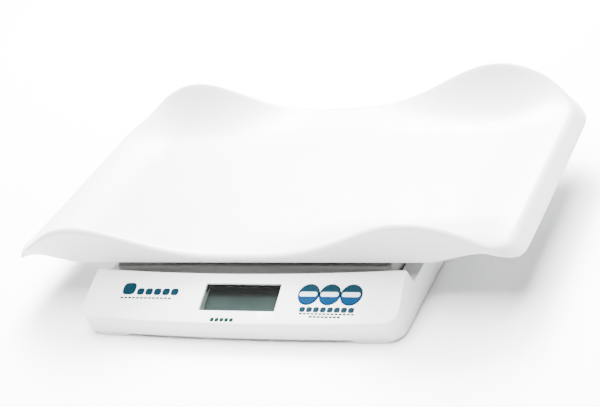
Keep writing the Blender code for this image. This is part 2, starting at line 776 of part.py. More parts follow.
def make_base_plate():
    """Bottom cover with foot pads, the load cell's pedestal and overload stops."""
    inset = COVER_WALL + GAP
    half = COVER_X_FOOT - inset - 0.0006
    front = NOSE_FOOT_Y + inset
    back = COVER_BACK - inset - 0.0006
    bm = bmesh.new()
    outline = rounded_rectangle(-half, half, front, back, COVER_CORNER - inset,
                                front_radius=COVER_FRONT_CORNER - inset)
    add_prism(bm, bowed_front(outline), PLATE_BOTTOM, PLATE_TOP)
    plate = object_from(bm, "base_plate", white_plastic())

    pads = bmesh.new()
    for sx in (-1, 1):
        for sy in (-1, 1):
            add_loft(pads, [pad_outline(sx, sy, 0.0, COVER_BOTTOM - GAP),
                            pad_outline(sx, sy, PAD_RAMP, PAD_BOTTOM)])
    risers = bmesh.new()
    for x, y in foot_places():
        add_box(risers, (x - 0.020, y - 0.020, COVER_BOTTOM - 0.0012),
                (x + 0.020, y + 0.020, PLATE_TOP - 0.001))
    join(plate, risers)
    join(plate, pads)

    uprights = bmesh.new()
    middle = -sum(CELL_HOLES) / 2
    add_box(uprights, (middle - 0.0150, CELL_Y - 0.0100, PLATE_BOTTOM + 0.001),
            (middle + 0.0150, CELL_Y + 0.0100, PEDESTAL_TOP))
    for sx in (-1, 1):
        for sy in (-1, 1):
            add_rod(uprights, 0.0040, PLATE_BOTTOM + 0.001, bracket_bottom() - 0.0008,
                    (sx * 0.092, CELL_Y + sy * 0.030), 12)
    join(plate, uprights)

    rails = bmesh.new()
    for side in (-1, 1):
        edge = BAY_Y + side * (door_half_y() + 0.0005)
        add_box(rails, (BAY_X - 0.090, min(edge, edge + side * 0.0020), 0.0016),
                (BAY_X + door_half_x(), max(edge, edge + side * 0.0020), PLATE_BOTTOM + 0.001))
    join(plate, rails)
    lips = bmesh.new()
    for side in (-1, 1):
        edge = BAY_Y + side * (door_half_y() + 0.0015)
        inner = edge - side * 0.0025
        add_box(lips, (BAY_X - 0.089, min(edge, inner), 0.0014),
                (BAY_X + door_half_x() - 0.001, max(edge, inner), 0.0022))
    join(plate, lips)

    holes = bmesh.new()
    for x, y in foot_places():
        add_rod(holes, FOOT_R + GAP, PAD_BOTTOM - 0.001, 0.0023, (x, y), 24)
    for place in CASE_SCREWS:
        add_rod(holes, 0.0019, 0.000, PLATE_TOP + 0.002, place, 12)
    for place in pedestal_screw_places():
        add_rod(holes, 0.0028, 0.000, PEDESTAL_TOP + 0.002, place, 12)
    add_box(holes, (BAY_X - BAY_LENGTH / 2, BAY_Y - BAY_WIDTH / 2, 0.000),
            (BAY_X + BAY_LENGTH / 2, BAY_Y + BAY_WIDTH / 2, PLATE_TOP + 0.002))
    cut(plate, holes)
    head_rooms = bmesh.new()
    for place in pedestal_screw_places():
        add_rod(head_rooms, 0.0047, 0.000, PLATE_BOTTOM + 0.0043, place, 14)
    cut(plate, head_rooms)


def foot_places():
    return [(sx * FOOT_X, y) for sx in (-1, 1) for y in (FOOT_FRONT, FOOT_BACK)]


def make_feet():
    for index, (x, y) in enumerate(foot_places()):
        bm = bmesh.new()
        profile = ((FOOT_R - 0.0006, 0.0), (FOOT_R, 0.0005), (FOOT_R, 0.0023 - GAP))
        add_turned(bm, profile, 24, (x, y))
        object_from(bm, "foot_%d" % (index + 1), rubber())


def make_case_screws():
    for index, place in enumerate(CASE_SCREWS):
        head = PLATE_BOTTOM - GAP
        make_screw("case_screw_%d" % (index + 1), place, 0.0034, (head - 0.0020, head),
                   0.0015, (head, 0.0155))


# ---------------------------------------------------------------- battery bay
def door_half_x():
    return BAY_LENGTH / 2 + 0.0040


def door_half_y():
    return BAY_WIDTH / 2 + 0.0040


def make_battery_box():
    """Box over the opening of the base plate, open towards the door."""
    low = PLATE_TOP + GAP
    high = low + BAY_HEIGHT
    half_x = BAY_LENGTH / 2 + BAY_WALL
    half_y = BAY_WIDTH / 2 + BAY_WALL
    bm = bmesh.new()
    add_box(bm, (BAY_X - half_x, BAY_Y - half_y, low), (BAY_X + half_x, BAY_Y + half_y, high))
    box = object_from(bm, "battery_box", finish_of("dark_abs", (0.10, 0.10, 0.11), 0.5),
                      smooth=False)
    room = bmesh.new()
    add_box(room, (BAY_X - BAY_LENGTH / 2, BAY_Y - BAY_WIDTH / 2, low - 0.002),
            (BAY_X + BAY_LENGTH / 2, BAY_Y + BAY_WIDTH / 2, high - BAY_WALL))
    cut(box, room)


def battery_height():
    return PLATE_TOP + GAP + BAY_HEIGHT - BAY_WALL - GAP - BATTERY_R


def make_batteries():
    """Four AA cells side by side, alternately turned round."""
    finish = finish_of("battery_wrap", (0.08, 0.09, 0.10), 0.35)
    for i in range(4):
        bm = bmesh.new()
        half = BATTERY_LENGTH / 2
        profile = ((0.0060, -half), (BATTERY_R, -half + 0.0006), (BATTERY_R, half - 0.0016),
                   (0.0062, half - 0.0010), (0.0028, half - 0.0010), (0.0026, half))
        add_turned(bm, profile, 16)
        cell = object_from(bm, "battery_%d" % (i + 1), finish)
        turn = 90 if i % 2 else -90
        cell.rotation_euler = (0.0, math.radians(turn), 0.0)
        cell.location = (BAY_X, BAY_Y + (i - 1.5) * BATTERY_STEP, battery_height())


def make_contacts():
    """Spring strips at both ends of the bay."""
    for name, side in (("battery_contact_left", -1), ("battery_contact_right", 1)):
        outer = BAY_X + side * (BAY_LENGTH / 2 - GAP)
        inner = outer - side * 0.0005
        bm = bmesh.new()
        add_box(bm, (min(outer, inner), BAY_Y - BAY_WIDTH / 2 + 0.0010, battery_height() - 0.0050),
                (max(outer, inner), BAY_Y + BAY_WIDTH / 2 - 0.0010, battery_height() + 0.0050))
        strip = object_from(bm, name, steel(), smooth=False)
        bumps = bmesh.new()
        turn = Matrix.Rotation(math.radians(90), 4, "Y")
        reach = 0.0022
        for i in range(4):
            x = inner - side * (reach / 2 - 0.0002)
            place = Matrix.Translation((x, BAY_Y + (i - 1.5) * BATTERY_STEP, battery_height()))
            bmesh.ops.create_cone(bumps, cap_ends=True, segments=10, radius1=0.0028,
                                  radius2=0.0028, depth=reach, matrix=place @ turn)
        join(strip, bumps)


def make_battery_door():
    low = PLATE_BOTTOM - GAP - DOOR_THICK
    bm = bmesh.new()
    add_box(bm, (BAY_X - door_half_x(), BAY_Y - door_half_y(), low),
            (BAY_X + door_half_x(), BAY_Y + door_half_y(), low + DOOR_THICK))
    door = object_from(bm, "battery_door", white_plastic(), smooth=False)
    grooves = bmesh.new()
    for i in range(5):
        x = BAY_X + 0.012 + i * 0.0035
        add_box(grooves, (x, BAY_Y - 0.010, low - 0.001), (x + 0.0015, BAY_Y + 0.010, low + 0.0006))
    cut(door, grooves)


# ---------------------------------------------------------------- console parts
def make_window():
    """Clear lens with a flange that sits behind the panel."""
    half_w = WINDOW_W / 2 - GAP
    half_h = WINDOW_H / 2 - GAP
    flange = COVER_WALL + GAP
    bm = bmesh.new()
    add_prism(bm, rounded_rectangle(-half_w, half_w, -half_h, half_h, 0.0008, 2),
              -flange - 0.0003, -0.0005)
    lens = object_from(bm, "lcd_window", finish_of("clear_acrylic", (0.85, 0.90, 0.90), 0.05))
    rim = bmesh.new()
    add_box(rim, (-half_w - 0.0025, -half_h - 0.0005, -flange - 0.0012),
            (half_w + 0.0025, half_h + 0.0025, -flange))
    join(lens, rim)
    place_on_panel(lens, WINDOW_X, WINDOW_UP)


def make_lcd_holder():
    low = -0.0078
    high = -COVER_WALL - GAP - 0.0012 - GAP
    bm = bmesh.new()
    add_box(bm, (-0.0450, -0.0165, low), (0.0450, 0.0165, high))
    holder = object_from(bm, "lcd_holder", finish_of("grey_abs", (0.30, 0.31, 0.32), 0.4), smooth=False)
    hole = bmesh.new()
    half_w = WINDOW_W / 2
    half_h = WINDOW_H / 2
    add_box(hole, (-half_w, -half_h, low - 0.002), (half_w, half_h, high + 0.002))
    cut(holder, hole)
    place_on_panel(holder, WINDOW_X, WINDOW_UP)


def make_lcd_panel():
    bm = bmesh.new()
    add_box(bm, (-0.0430, -0.0155, -0.0109), (0.0430, 0.0155, -0.0081))
    bmesh.ops.bevel(bm, geom=bm.edges, offset=0.0003, segments=1, affect="EDGES")
    panel = object_from(bm, "lcd_panel", finish_of("lcd_glass", (0.42, 0.50, 0.48), 0.12),
                        smooth=False)
    place_on_panel(panel, WINDOW_X, WINDOW_UP)


def make_board():
    """Circuit board behind the display and the three switches."""
    bm = bmesh.new()
    add_box(bm, (-0.0420, -0.0160, -BOARD_DEPTH - BOARD_THICK), (0.1330, 0.0160, -BOARD_DEPTH))
    board = object_from(bm, "main_board", finish_of("board_green", (0.03, 0.22, 0.10), 0.45),
                        smooth=False)
    chips = bmesh.new()
    for x, y, w, d in ((0.000, 0.001, 0.014, 0.010), (0.050, -0.004, 0.010, 0.008),
                       (0.085, 0.009, 0.007, 0.005)):
        bottom = -BOARD_DEPTH - BOARD_THICK
        add_box(chips, (x - w / 2, y - d / 2, bottom - 0.0018), (x + w / 2, y + d / 2, bottom + 0.0005))
    join(board, chips)
    place_on_panel(board)


def make_switches():
    """Tactile switches under the buttons."""
    finish = finish_of("black_nylon", (0.05, 0.05, 0.05), 0.45)
    for i in range(3):
        bm = bmesh.new()
        add_box(bm, (-0.0030, -0.0030, -BOARD_DEPTH + GAP), (0.0030, 0.0030, -0.0074))
        switch = object_from(bm, "switch_%d" % (i + 1), finish, smooth=False)
        plunger = bmesh.new()
        add_rod(plunger, 0.0017, -0.0080, -0.0064, sides=12)
        join(switch, plunger)
        place_on_panel(switch, BUTTON_X + i * BUTTON_STEP, BUTTON_UP)


def make_buttons():
    """Round keys with a stem and two retaining wings; each origin lies on its slide axis."""
    finish = finish_of("blue_key", (0.02, 0.28, 0.60), 0.32)
    for i, name in enumerate(BUTTON_NAMES):
        bm = bmesh.new()
        profile = ((BUTTON_R, -0.0040), (BUTTON_R, BUTTON_PROUD - 0.0006),
                   (BUTTON_R - 0.0005, BUTTON_PROUD))
        add_turned(bm, profile, 28)
        button = object_from(bm, name, finish)
        wings = bmesh.new()
        add_box(wings, (-0.0040, -BUTTON_R - 0.0018, -0.0040), (0.0040, BUTTON_R + 0.0018, -0.0031))
        join(button, wings)
        stem = bmesh.new()
        add_rod(stem, 0.0022, -0.0057, -0.0035, sides=12)
        join(button, stem)
        place_on_panel(button, BUTTON_X + i * BUTTON_STEP, BUTTON_UP)


def main():
    clear_scene()
    make_tray()
    make_studs()
    make_platform_cover()
    make_platform_bracket()
    make_bracket_screws()
    make_load_cell()
    make_gauge_cover()
    make_cell_spacers()
    make_cell_screws()
    make_cell_cable()
    make_base_cover()
    make_base_plate()
    make_feet()
    make_case_screws()
    make_battery_box()
    make_batteries()
    make_contacts()
    make_battery_door()
    make_window()
    make_lcd_holder()
    make_lcd_panel()
    make_board()
    make_switches()
    make_buttons()


main()
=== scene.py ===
"""Looks of the tray scale: smooth moulded covers, finishes, floor, light and camera."""

import math

import bmesh
import bpy
from mathutils import Matrix, Vector


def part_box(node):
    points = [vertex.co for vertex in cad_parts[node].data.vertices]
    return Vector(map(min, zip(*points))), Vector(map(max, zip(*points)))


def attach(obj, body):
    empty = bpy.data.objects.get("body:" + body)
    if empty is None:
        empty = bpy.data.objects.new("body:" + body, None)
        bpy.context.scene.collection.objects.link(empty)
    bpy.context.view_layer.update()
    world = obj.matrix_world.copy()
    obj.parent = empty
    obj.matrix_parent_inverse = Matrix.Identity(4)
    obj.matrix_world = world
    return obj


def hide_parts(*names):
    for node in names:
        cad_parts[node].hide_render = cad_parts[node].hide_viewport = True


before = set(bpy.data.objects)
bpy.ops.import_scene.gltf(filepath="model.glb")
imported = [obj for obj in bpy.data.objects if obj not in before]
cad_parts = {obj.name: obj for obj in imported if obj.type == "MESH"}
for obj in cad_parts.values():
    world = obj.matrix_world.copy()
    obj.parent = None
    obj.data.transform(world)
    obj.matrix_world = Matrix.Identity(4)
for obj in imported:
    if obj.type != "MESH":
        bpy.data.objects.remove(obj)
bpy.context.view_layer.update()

# ---------------------------------------------------------------- shape, as in the CAD
TRAY_Y = 0.020
TRAY_FLOOR = 0.0570
TRAY_SKIN = 0.0024
TRAY_CREST_X = 0.2580
TRAY_CREST_Y = 0.1322
TRAY_BOW = 0.0090
TRAY_FRONT_CORNER = 0.0180
TRAY_BACK_CORNER = 0.0380
TRAY_END_RISE = 0.0060
TRAY_END_START = 0.190
TRAY_MID_RISE = 0.0035
TRAY_HUMP_RISE = 0.0405
TRAY_HUMP_X = 0.177
TRAY_FALL_X = 0.275
TRAY_FALL_POWER = 1.15
TRAY_END_SHARE = 0.08
TRAY_FLAT_SHARE = 0.52
TRAY_DISH_POWER = 2.2
RIM_OUT = 0.0060
RIM_DROP = 0.0045
SKIRT_Y = 0.1355
SKIRT_Z = 0.0515
SKIRT_LIFT = 0.0095
SKIRT_LIFT_START = 0.185
SKIRT_LIFT_END = 0.242
LIP_OUT = 0.0155
LIP_DROP = 0.0135
LIP_ROLL_OUT = 0.0080
STUDS = [(sx * 0.105, y) for sx in (-1, 1) for y in (-0.070, 0.095)]
STUD_BOSS_R = 0.0110
STUD_BOSS_BOTTOM = 0.0500

PLATFORM_X = 0.1500
PLATFORM_FRONT = -0.1135
PLATFORM_BACK = 0.1280
PLATFORM_TOP = 0.0460
PLATFORM_BOTTOM = 0.0260
PLATFORM_CORNER = 0.0065
PLATFORM_EDGE = 0.0035            # rounding of the platform's upper edge
STUD_HOLE_R = 0.0045
BRACKET_TOP = 0.0344
BRACKET_BOSS_R = 0.0045
BRACKET_SCREW_R = 0.0018
BRACKET_SCREWS = [(sx * 0.080, 0.007 + sy * 0.042) for sx in (-1, 1) for sy in (-1, 1)]

COVER_X_FOOT = 0.1692
COVER_X_WIDE = 0.1712
COVER_X_HIGH = 0.1665
COVER_BACK = 0.1480
COVER_CORNER = 0.0200
COVER_FRONT_CORNER = 0.0150
COVER_CORNER_TOP = 0.0070
CONSOLE_BOW = 0.0048
COVER_WALL = 0.0025
COVER_BOTTOM = 0.0035
LEDGE_TOP = 0.0300
CONSOLE_TOP_Y = -0.1175
CONSOLE_TOP_Z = 0.0460
CONSOLE_BEND_Y = -0.1655
CONSOLE_BEND_Z = 0.0255
NOSE_Y = -0.1682
NOSE_Z = 0.0222
NOSE_SLOPE = math.radians(80)
NOSE_FOOT_Y = -0.1645
OPENING_X = 0.1520
OPENING_FRONT = CONSOLE_TOP_Y + 0.0026
OPENING_BACK = 0.1300
OPENING_CORNER = 0.0085

PANEL_SLOPE = math.atan2(CONSOLE_TOP_Z - CONSOLE_BEND_Z, CONSOLE_TOP_Y - CONSOLE_BEND_Y)
PANEL_Y = -0.1450
PANEL_Z = CONSOLE_BEND_Z + (PANEL_Y - CONSOLE_BEND_Y) * math.tan(PANEL_SLOPE)
WINDOW_X = 0.0060
WINDOW_UP = -0.0010
WINDOW_W = 0.0810
WINDOW_H = 0.0288
WINDOW_CORNER = 0.0010
BUTTON_X = 0.0773
BUTTON_UP = 0.0029
BUTTON_STEP = 0.0215
BUTTON_R = 0.01045
BUTTON_HOLE_R = 0.01095
BUTTON_PROUD = 0.0006
BUTTON_DOME = 0.00012             # how much lower a key's edge is than its middle
BUTTON_EDGE = 0.0007              # rounding of a key's edge
BUTTON_SKIRT = 0.0040             # depth of a key below the panel
BUTTON_HOLE_SIDES = 36            # more sides make the cut of the overlapping holes fail
BUTTON_NAMES = ("button_hold", "button_tare", "button_power")

FOOT_R = 0.0120
FOOT_EDGE = 0.0006
FOOT_PLACES = [(sx * 0.1400, y) for sx in (-1, 1) for y in (-0.1330, 0.1170)]

BATTERY_BAND_X = 0.082            # where the sleeves' second colour starts
LIGHT_TARGET = (0.0, 0.0, 0.03)
FINE = 2     # how finely round shapes are divided


# ---------------------------------------------------------------- node helpers
class Finish:
    """A material with short ways to add nodes."""

    def __init__(self, name):
        self.material = bpy.data.materials.new(name)
        self.material.use_nodes = True
        self.tree = self.material.node_tree
        self.shader = self.tree.nodes["Principled BSDF"]
        self.place = self.add("ShaderNodeTexCoord").outputs["Object"]

    def add(self, kind, **settings):
        node = self.tree.nodes.new(kind)
        for key, value in settings.items():
            setattr(node, key, value)
        return node

    def put(self, socket, value):
        """Link an output or set a constant."""
        if isinstance(value, bpy.types.NodeSocket):
            self.tree.links.new(value, socket)
        elif hasattr(value, "__len__") and len(value) == 3 and socket.type == "RGBA":
            socket.default_value = (*value, 1.0)
        else:
            socket.default_value = value

    def noise(self, scale, detail=4.0, roughness=0.5, stretch=None, distortion=0.0):
        place = self.place
        if stretch:
            mapping = self.add("ShaderNodeMapping")
            self.put(mapping.inputs["Vector"], place)
            mapping.inputs["Scale"].default_value = stretch
            place = mapping.outputs["Vector"]
        node = self.add("ShaderNodeTexNoise")
        self.put(node.inputs["Vector"], place)
        node.inputs["Scale"].default_value = scale
        node.inputs["Detail"].default_value = detail
        node.inputs["Roughness"].default_value = roughness
        node.inputs["Distortion"].default_value = distortion
        return node.outputs["Fac"]

    def span(self, value, low, high, to_low, to_high):
        """Map a range of values to another, clamped."""
        node = self.add("ShaderNodeMapRange")
        self.put(node.inputs["Value"], value)
        for name, number in (("From Min", low), ("From Max", high), ("To Min", to_low),
                             ("To Max", to_high)):
            node.inputs[name].default_value = number
        return node.outputs["Result"]

    def math(self, kind, a, b=0.0):
        node = self.add("ShaderNodeMath", operation=kind)
        self.put(node.inputs[0], a)
        self.put(node.inputs[1], b)
        return node.outputs[0]

    def blend(self, share, a, b):
        """Mix two colours."""
        node = self.add("ShaderNodeMix", data_type="RGBA")
        self.put(node.inputs["Factor"], share)
        self.put(node.inputs["A"], a)
        self.put(node.inputs["B"], b)
        return node.outputs["Result"]

    def bump(self, height, strength, distance, under=None):
        node = self.add("ShaderNodeBump")
        self.put(node.inputs["Height"], height)
        node.inputs["Strength"].default_value = strength
        node.inputs["Distance"].default_value = distance
        if under is not None:
            self.put(node.inputs["Normal"], under)
        return node.outputs["Normal"]

    def set(self, **values):
        """Set the shader's own sockets, spaces written as underscores."""
        for key, value in values.items():
            self.put(self.shader.inputs[key.replace("_", " ")], value)
        return self.material


def moulded(name, colour, shade, roughness, grain=0.00003, grain_scale=2600.0):
    """Moulded plastic: soft colour drift, fine grain, smudges and hairline scuffs."""
    f = Finish(name)
    drift = f.noise(9.0, 3.0)
    smudge = f.noise(38.0, 5.0, 0.62, distortion=0.4)
    scuff = f.noise(210.0, 2.0, 0.4, stretch=(0.12, 1.0, 1.0))
    fine = f.noise(grain_scale, 2.0)
    wave = f.noise(14.0, 2.0)
    base = f.blend(f.span(drift, 0.35, 0.65, 0.0, 1.0), colour, shade)
    soil = f.span(smudge, 0.60, 0.78, 0.0, 0.10)
    dusty = tuple(c * 0.80 for c in shade)
    base = f.blend(soil, base, dusty)
    rough = f.span(smudge, 0.30, 0.75, roughness - 0.05, roughness + 0.10)
    rough = f.math("ADD", rough, f.span(scuff, 0.64, 0.74, 0.0, 0.09))
    normal = f.bump(wave, 0.25, 0.0004)
    normal = f.bump(fine, 0.5, grain, normal)
    normal = f.bump(scuff, 0.12, 0.00002, normal)
    return f.set(Base_Color=base, Roughness=rough, Normal=normal, IOR=1.52)


def rubber(name, colour):
    f = Finish(name)
    grain = f.noise(1800.0, 3.0, 0.6)
    patch = f.noise(120.0, 4.0)
    pale = tuple(min(c * 2.2 + 0.02, 1.0) for c in colour)
    base = f.blend(f.span(patch, 0.45, 0.75, 0.0, 0.6), colour, pale)
    rough = f.span(patch, 0.3, 0.7, 0.70, 0.90)
    return f.set(Base_Color=base, Roughness=rough, Normal=f.bump(grain, 0.6, 0.00008), IOR=1.5)


def metal(name, colour, roughness, stretch, tarnish):
    """Brushed or plated metal with a lay along the stretch, small spots and dulling."""
    f = Finish(name)
    lay = f.noise(900.0, 3.0, 0.6, stretch=stretch)
    spots = f.noise(260.0, 5.0, 0.65)
    cloud = f.noise(45.0, 3.0)
    base = f.blend(f.span(cloud, 0.35, 0.70, 0.0, 1.0), colour, tarnish)
    base = f.blend(f.span(spots, 0.66, 0.78, 0.0, 0.5), base, tuple(c * 0.55 for c in colour))
    rough = f.math("ADD", f.span(lay, 0.3, 0.7, roughness - 0.07, roughness + 0.10),
                   f.span(spots, 0.62, 0.8, 0.0, 0.25))
    normal = f.bump(lay, 0.35, 0.00003)
    return f.set(Base_Color=base, Roughness=rough, Metallic=1.0, Normal=normal)


def board_finish():
    """Solder mask with copper traces showing through as lighter, raised lines."""
    f = Finish("board_mask")
    traces = f.add("ShaderNodeTexBrick", offset=0.5)
    f.put(traces.inputs["Vector"], f.place)
    traces.inputs["Scale"].default_value = 260.0
    traces.inputs["Mortar Size"].default_value = 0.03
    lines = traces.outputs["Fac"]
    cloud = f.noise(300.0, 3.0)
    base = f.blend(lines, (0.012, 0.145, 0.055), (0.03, 0.26, 0.11))
    base = f.blend(f.span(cloud, 0.55, 0.75, 0.0, 0.5), base, (0.02, 0.10, 0.05))
    rough = f.span(cloud, 0.3, 0.7, 0.30, 0.50)
    return f.set(Base_Color=base, Roughness=rough, Normal=f.bump(lines, 0.4, 0.00005), IOR=1.5)


def battery_finish():
    """Plain sleeve in two tones with a bare end and rub marks along it."""
    f = Finish("battery_sleeve")
    split = f.add("ShaderNodeSeparateXYZ")
    f.put(split.inputs[0], f.place)
    along = split.outputs["X"]
    band = f.math("GREATER_THAN", along, BATTERY_BAND_X)
    base = f.blend(band, (0.035, 0.04, 0.045), (0.55, 0.30, 0.10))
    rub = f.noise(400.0, 3.0, 0.6, stretch=(0.15, 1.0, 1.0))
    base = f.blend(f.span(rub, 0.62, 0.75, 0.0, 0.5), base, (0.30, 0.30, 0.30))
    rough = f.span(rub, 0.3, 0.7, 0.22, 0.42)
    return f.set(Base_Color=base, Roughness=rough, Normal=f.bump(rub, 0.2, 0.00002), Metallic=0.35)


def rise_share(f, node, start, stop):
    """From 0 to 1 between two shares of a node's height."""
    split = f.add("ShaderNodeSeparateXYZ")
    f.put(split.inputs[0], f.place)
    low, high = (corner[2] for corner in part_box(node))
    return f.span(split.outputs["Z"], low + (high - low) * start,
                  low + (high - low) * stop, 0.0, 1.0)


def holder_finish():
    """Holder of the display: grey plastic with painted shade, near-black along its upper side where
    the recess lies in shadow.
    """
    f = Finish("holder_plastic_painted_shade")
    drift = f.noise(40.0, 3.0)
    grain = f.noise(1900.0, 2.0)
    base = f.blend(f.span(drift, 0.35, 0.65, 0.0, 1.0), (0.30, 0.31, 0.32), (0.25, 0.26, 0.27))
    # painted shade: the upper side turns near-black, standing for the shadow inside the display's
    # recess
    base = f.blend(rise_share(f, "lcd_holder", 0.72, 0.80), base, (0.006, 0.006, 0.006))
    rough = f.span(drift, 0.3, 0.7, 0.35, 0.50)
    return f.set(Base_Color=base, Roughness=rough, Normal=f.bump(grain, 0.4, 0.00003), IOR=1.5,
                 Specular_IOR_Level=0.2)


def display_finish():
    """Unlit display: grey-green glass with a faint cell pattern, and painted shade: near-black
    along the top, paler towards the bottom.
    """
    f = Finish("display_glass_painted_shade")
    drift = f.noise(60.0, 3.0)
    grid = f.add("ShaderNodeTexWave", wave_type="BANDS", bands_direction="X")
    f.put(grid.inputs["Vector"], f.place)
    grid.inputs["Scale"].default_value = 900.0
    grain = f.noise(3000.0, 2.0)
    base = f.blend(f.span(drift, 0.35, 0.65, 0.0, 1.0), (0.016, 0.024, 0.023),
                   (0.020, 0.029, 0.027))
    base = f.blend(f.math("MULTIPLY", grid.outputs["Fac"], 0.05), base, (0.06, 0.08, 0.075))
    # painted light: the lower part is made paler, as the glass comes out of the recess's shadow
    base = f.blend(rise_share(f, "lcd_panel", 0.05, 0.60), (0.030, 0.044, 0.045), base)
    # painted shade: a near-black band along the top, standing for the shadow of the recess's upper
    # wall
    base = f.blend(rise_share(f, "lcd_panel", 0.66, 0.80), base, (0.002, 0.0025, 0.0025))
    rough = f.span(drift, 0.3, 0.7, 0.40, 0.52)
    return f.set(Base_Color=base, Roughness=rough, Normal=f.bump(grain, 0.15, 0.00001), IOR=1.45,
                 Specular_IOR_Level=0.05)


def lens_finish():
    """Clear acrylic: light passes, and a share is reflected with faint wipe marks."""
    f = Finish("clear_lens")
    wipe = f.noise(160.0, 4.0, 0.6, stretch=(0.3, 1.0, 1.0), distortion=0.6)
    rough = f.span(wipe, 0.35, 0.75, 0.02, 0.16)
    normal = f.bump(f.noise(40.0, 2.0), 0.08, 0.0002)
    f.set(Base_Color=(0.02, 0.02, 0.02), Roughness=rough, Normal=normal, IOR=1.49)
    clear = f.add("ShaderNodeBsdfTransparent")
    clear.inputs["Color"].default_value = (0.94, 0.97, 0.96, 1.0)
    mix = f.add("ShaderNodeMixShader")
    f.put(mix.inputs["Fac"], f.span(wipe, 0.55, 0.80, 0.08, 0.14))
    f.tree.links.new(clear.outputs[0], mix.inputs[1])
    f.tree.links.new(f.shader.outputs[0], mix.inputs[2])
    f.tree.links.new(mix.outputs[0], f.tree.nodes["Material Output"].inputs["Surface"])
    return f.material


def key_finish():
    """Blue key with a white printed capsule across it and rubbing from fingertips."""
    f = Finish("printed_key")
    split = f.add("ShaderNodeSeparateXYZ")
    f.put(split.inputs[0], f.place)
    across, up = split.outputs["X"], split.outputs["Y"]
    half_length, half_height = 0.0066, 0.00235
    past = f.math("MAXIMUM", f.math("SUBTRACT", f.math("ABSOLUTE", across), half_length), 0.0)
    reach = f.math("SQRT", f.math("ADD", f.math("MULTIPLY", past, past),
                                  f.math("MULTIPLY", up, up)))
    capsule = f.span(reach, half_height, half_height + 0.00013, 1.0, 0.0)
    blue = f.blend(f.span(up, -0.0015, 0.0015, 0.0, 1.0), (0.000, 0.020, 0.062),
                   (0.000, 0.014, 0.024))
    wear = f.noise(420.0, 4.0, 0.65)
    blue = f.blend(f.span(wear, 0.66, 0.80, 0.0, 0.25), blue, (0.02, 0.10, 0.20))
    base = f.blend(capsule, blue, (0.42, 0.48, 0.50))
    rub = f.noise(90.0, 3.0)
    rough = f.span(rub, 0.3, 0.7, 0.34, 0.50)
    return f.set(Base_Color=base, Roughness=rough, IOR=1.42, Specular_IOR_Level=0.04,
                 Normal=f.bump(f.noise(2200.0, 2.0), 0.4, 0.00002))


def print_finish(name, colour):
    """Screen-printed ink, slightly thin in places."""
    f = Finish(name)
    thin = f.noise(900.0, 3.0, 0.6)
    base = f.blend(f.span(thin, 0.58, 0.75, 0.0, 0.25), colour, (0.02, 0.05, 0.06))
    rough = f.span(thin, 0.3, 0.7, 0.38, 0.55)
    return f.set(Base_Color=base, Roughness=rough, Normal=f.bump(thin, 0.3, 0.00001), IOR=1.45,
                 Specular_IOR_Level=0.05)


def floor_finish():
    f = Finish("pale_floor")
    tone = f.noise(1.4, 3.0)
    grain = f.noise(420.0, 3.0)
    base = f.blend(f.span(tone, 0.3, 0.7, 0.0, 1.0), (0.90, 0.90, 0.90), (0.91, 0.91, 0.91))
    rough = f.span(grain, 0.3, 0.7, 0.55, 0.70)
    return f.set(Base_Color=base, Roughness=rough, Normal=f.bump(grain, 0.1, 0.00005), IOR=1.4)


# ---------------------------------------------------------------- mesh helpers
def object_from(bm, name, material, smooth_angle=40.0):
    bmesh.ops.recalc_face_normals(bm, faces=bm.faces)
    mesh = bpy.data.meshes.new(name)
    bm.to_mesh(mesh)
    bm.free()
    mesh.shade_smooth()
    mesh.set_sharp_from_angle(angle=math.radians(smooth_angle))
    made = bpy.data.objects.new(name, mesh)
    bpy.context.scene.collection.objects.link(made)
    if material:
        mesh.materials.append(material)
    return made


def apply_modifier(piece, kind, **settings):
    change = piece.modifiers.new(kind.lower(), kind)
    for key, value in settings.items():
        setattr(change, key, value)
    bpy.context.view_layer.objects.active = piece
    bpy.ops.object.modifier_apply(modifier=change.name)


def combine(target, tool_bm, operation):
    """Join or cut a piece with a closed mesh, which is used up."""
    tool = object_from(tool_bm, target.name + "_tool", None)
    apply_modifier(target, "BOOLEAN", operation=operation, object=tool, solver="EXACT")
    bpy.data.objects.remove(tool, do_unlink=True)


def cut(target, tool_bm):
    combine(target, tool_bm, "DIFFERENCE")


def soften(piece, angle=40.0):
    piece.data.shade_smooth()
    piece.data.set_sharp_from_angle(angle=math.radians(angle))


def add_loft(bm, rings, cap=True):
    made = [[bm.verts.new(point) for point in ring] for ring in rings]
    count = len(made[0])
    for lower, upper in zip(made, made[1:]):
        for i in range(count):
            j = (i + 1) % count
            bm.faces.new((lower[i], lower[j], upper[j], upper[i]))
    if cap:
        bm.faces.new(list(reversed(made[0])))
        bm.faces.new(made[-1])
    return made


def add_box(bm, low, high):
    size = [b - a for a, b in zip(low, high)]
    middle = [(a + b) / 2 for a, b in zip(low, high)]
    place = Matrix.Translation(middle) @ Matrix.Diagonal((*size, 1.0))
    bmesh.ops.create_cube(bm, size=1.0, matrix=place)


def add_turned(bm, profile, sides, place=(0.0, 0.0)):
    rings = []
    for radius, height in profile:
        rings.append([(place[0] + radius * math.cos(2 * math.pi * i / sides),
                       place[1] + radius * math.sin(2 * math.pi * i / sides), height)
                      for i in range(sides)])
    add_loft(bm, rings)


def add_rod(bm, radius, low, high, place=(0.0, 0.0), sides=32):
    add_turned(bm, ((radius, low), (radius, high)), sides, place)


def fillet(points, radii, steps):
    """Round the corners of a closed 2-D outline; a radius of 0 keeps a corner."""
    made = []
    count = len(points)
    for i, (point, radius) in enumerate(zip(points, radii)):
        here = Vector(point)
        if radius <= 0:
            made.append(tuple(here))
            continue
        back = Vector(points[i - 1]) - here
        ahead = Vector(points[(i + 1) % count]) - here
        half = back.angle(ahead) / 2
        reach = min(radius / math.tan(half), back.length * 0.49, ahead.length * 0.49)
        a = here + back.normalized() * reach
        b = here + ahead.normalized() * reach
        for k in range(steps + 1):
            t = k / steps
            made.append(tuple(a * (1 - t) ** 2 + here * 2 * t * (1 - t) + b * t * t))
    return made


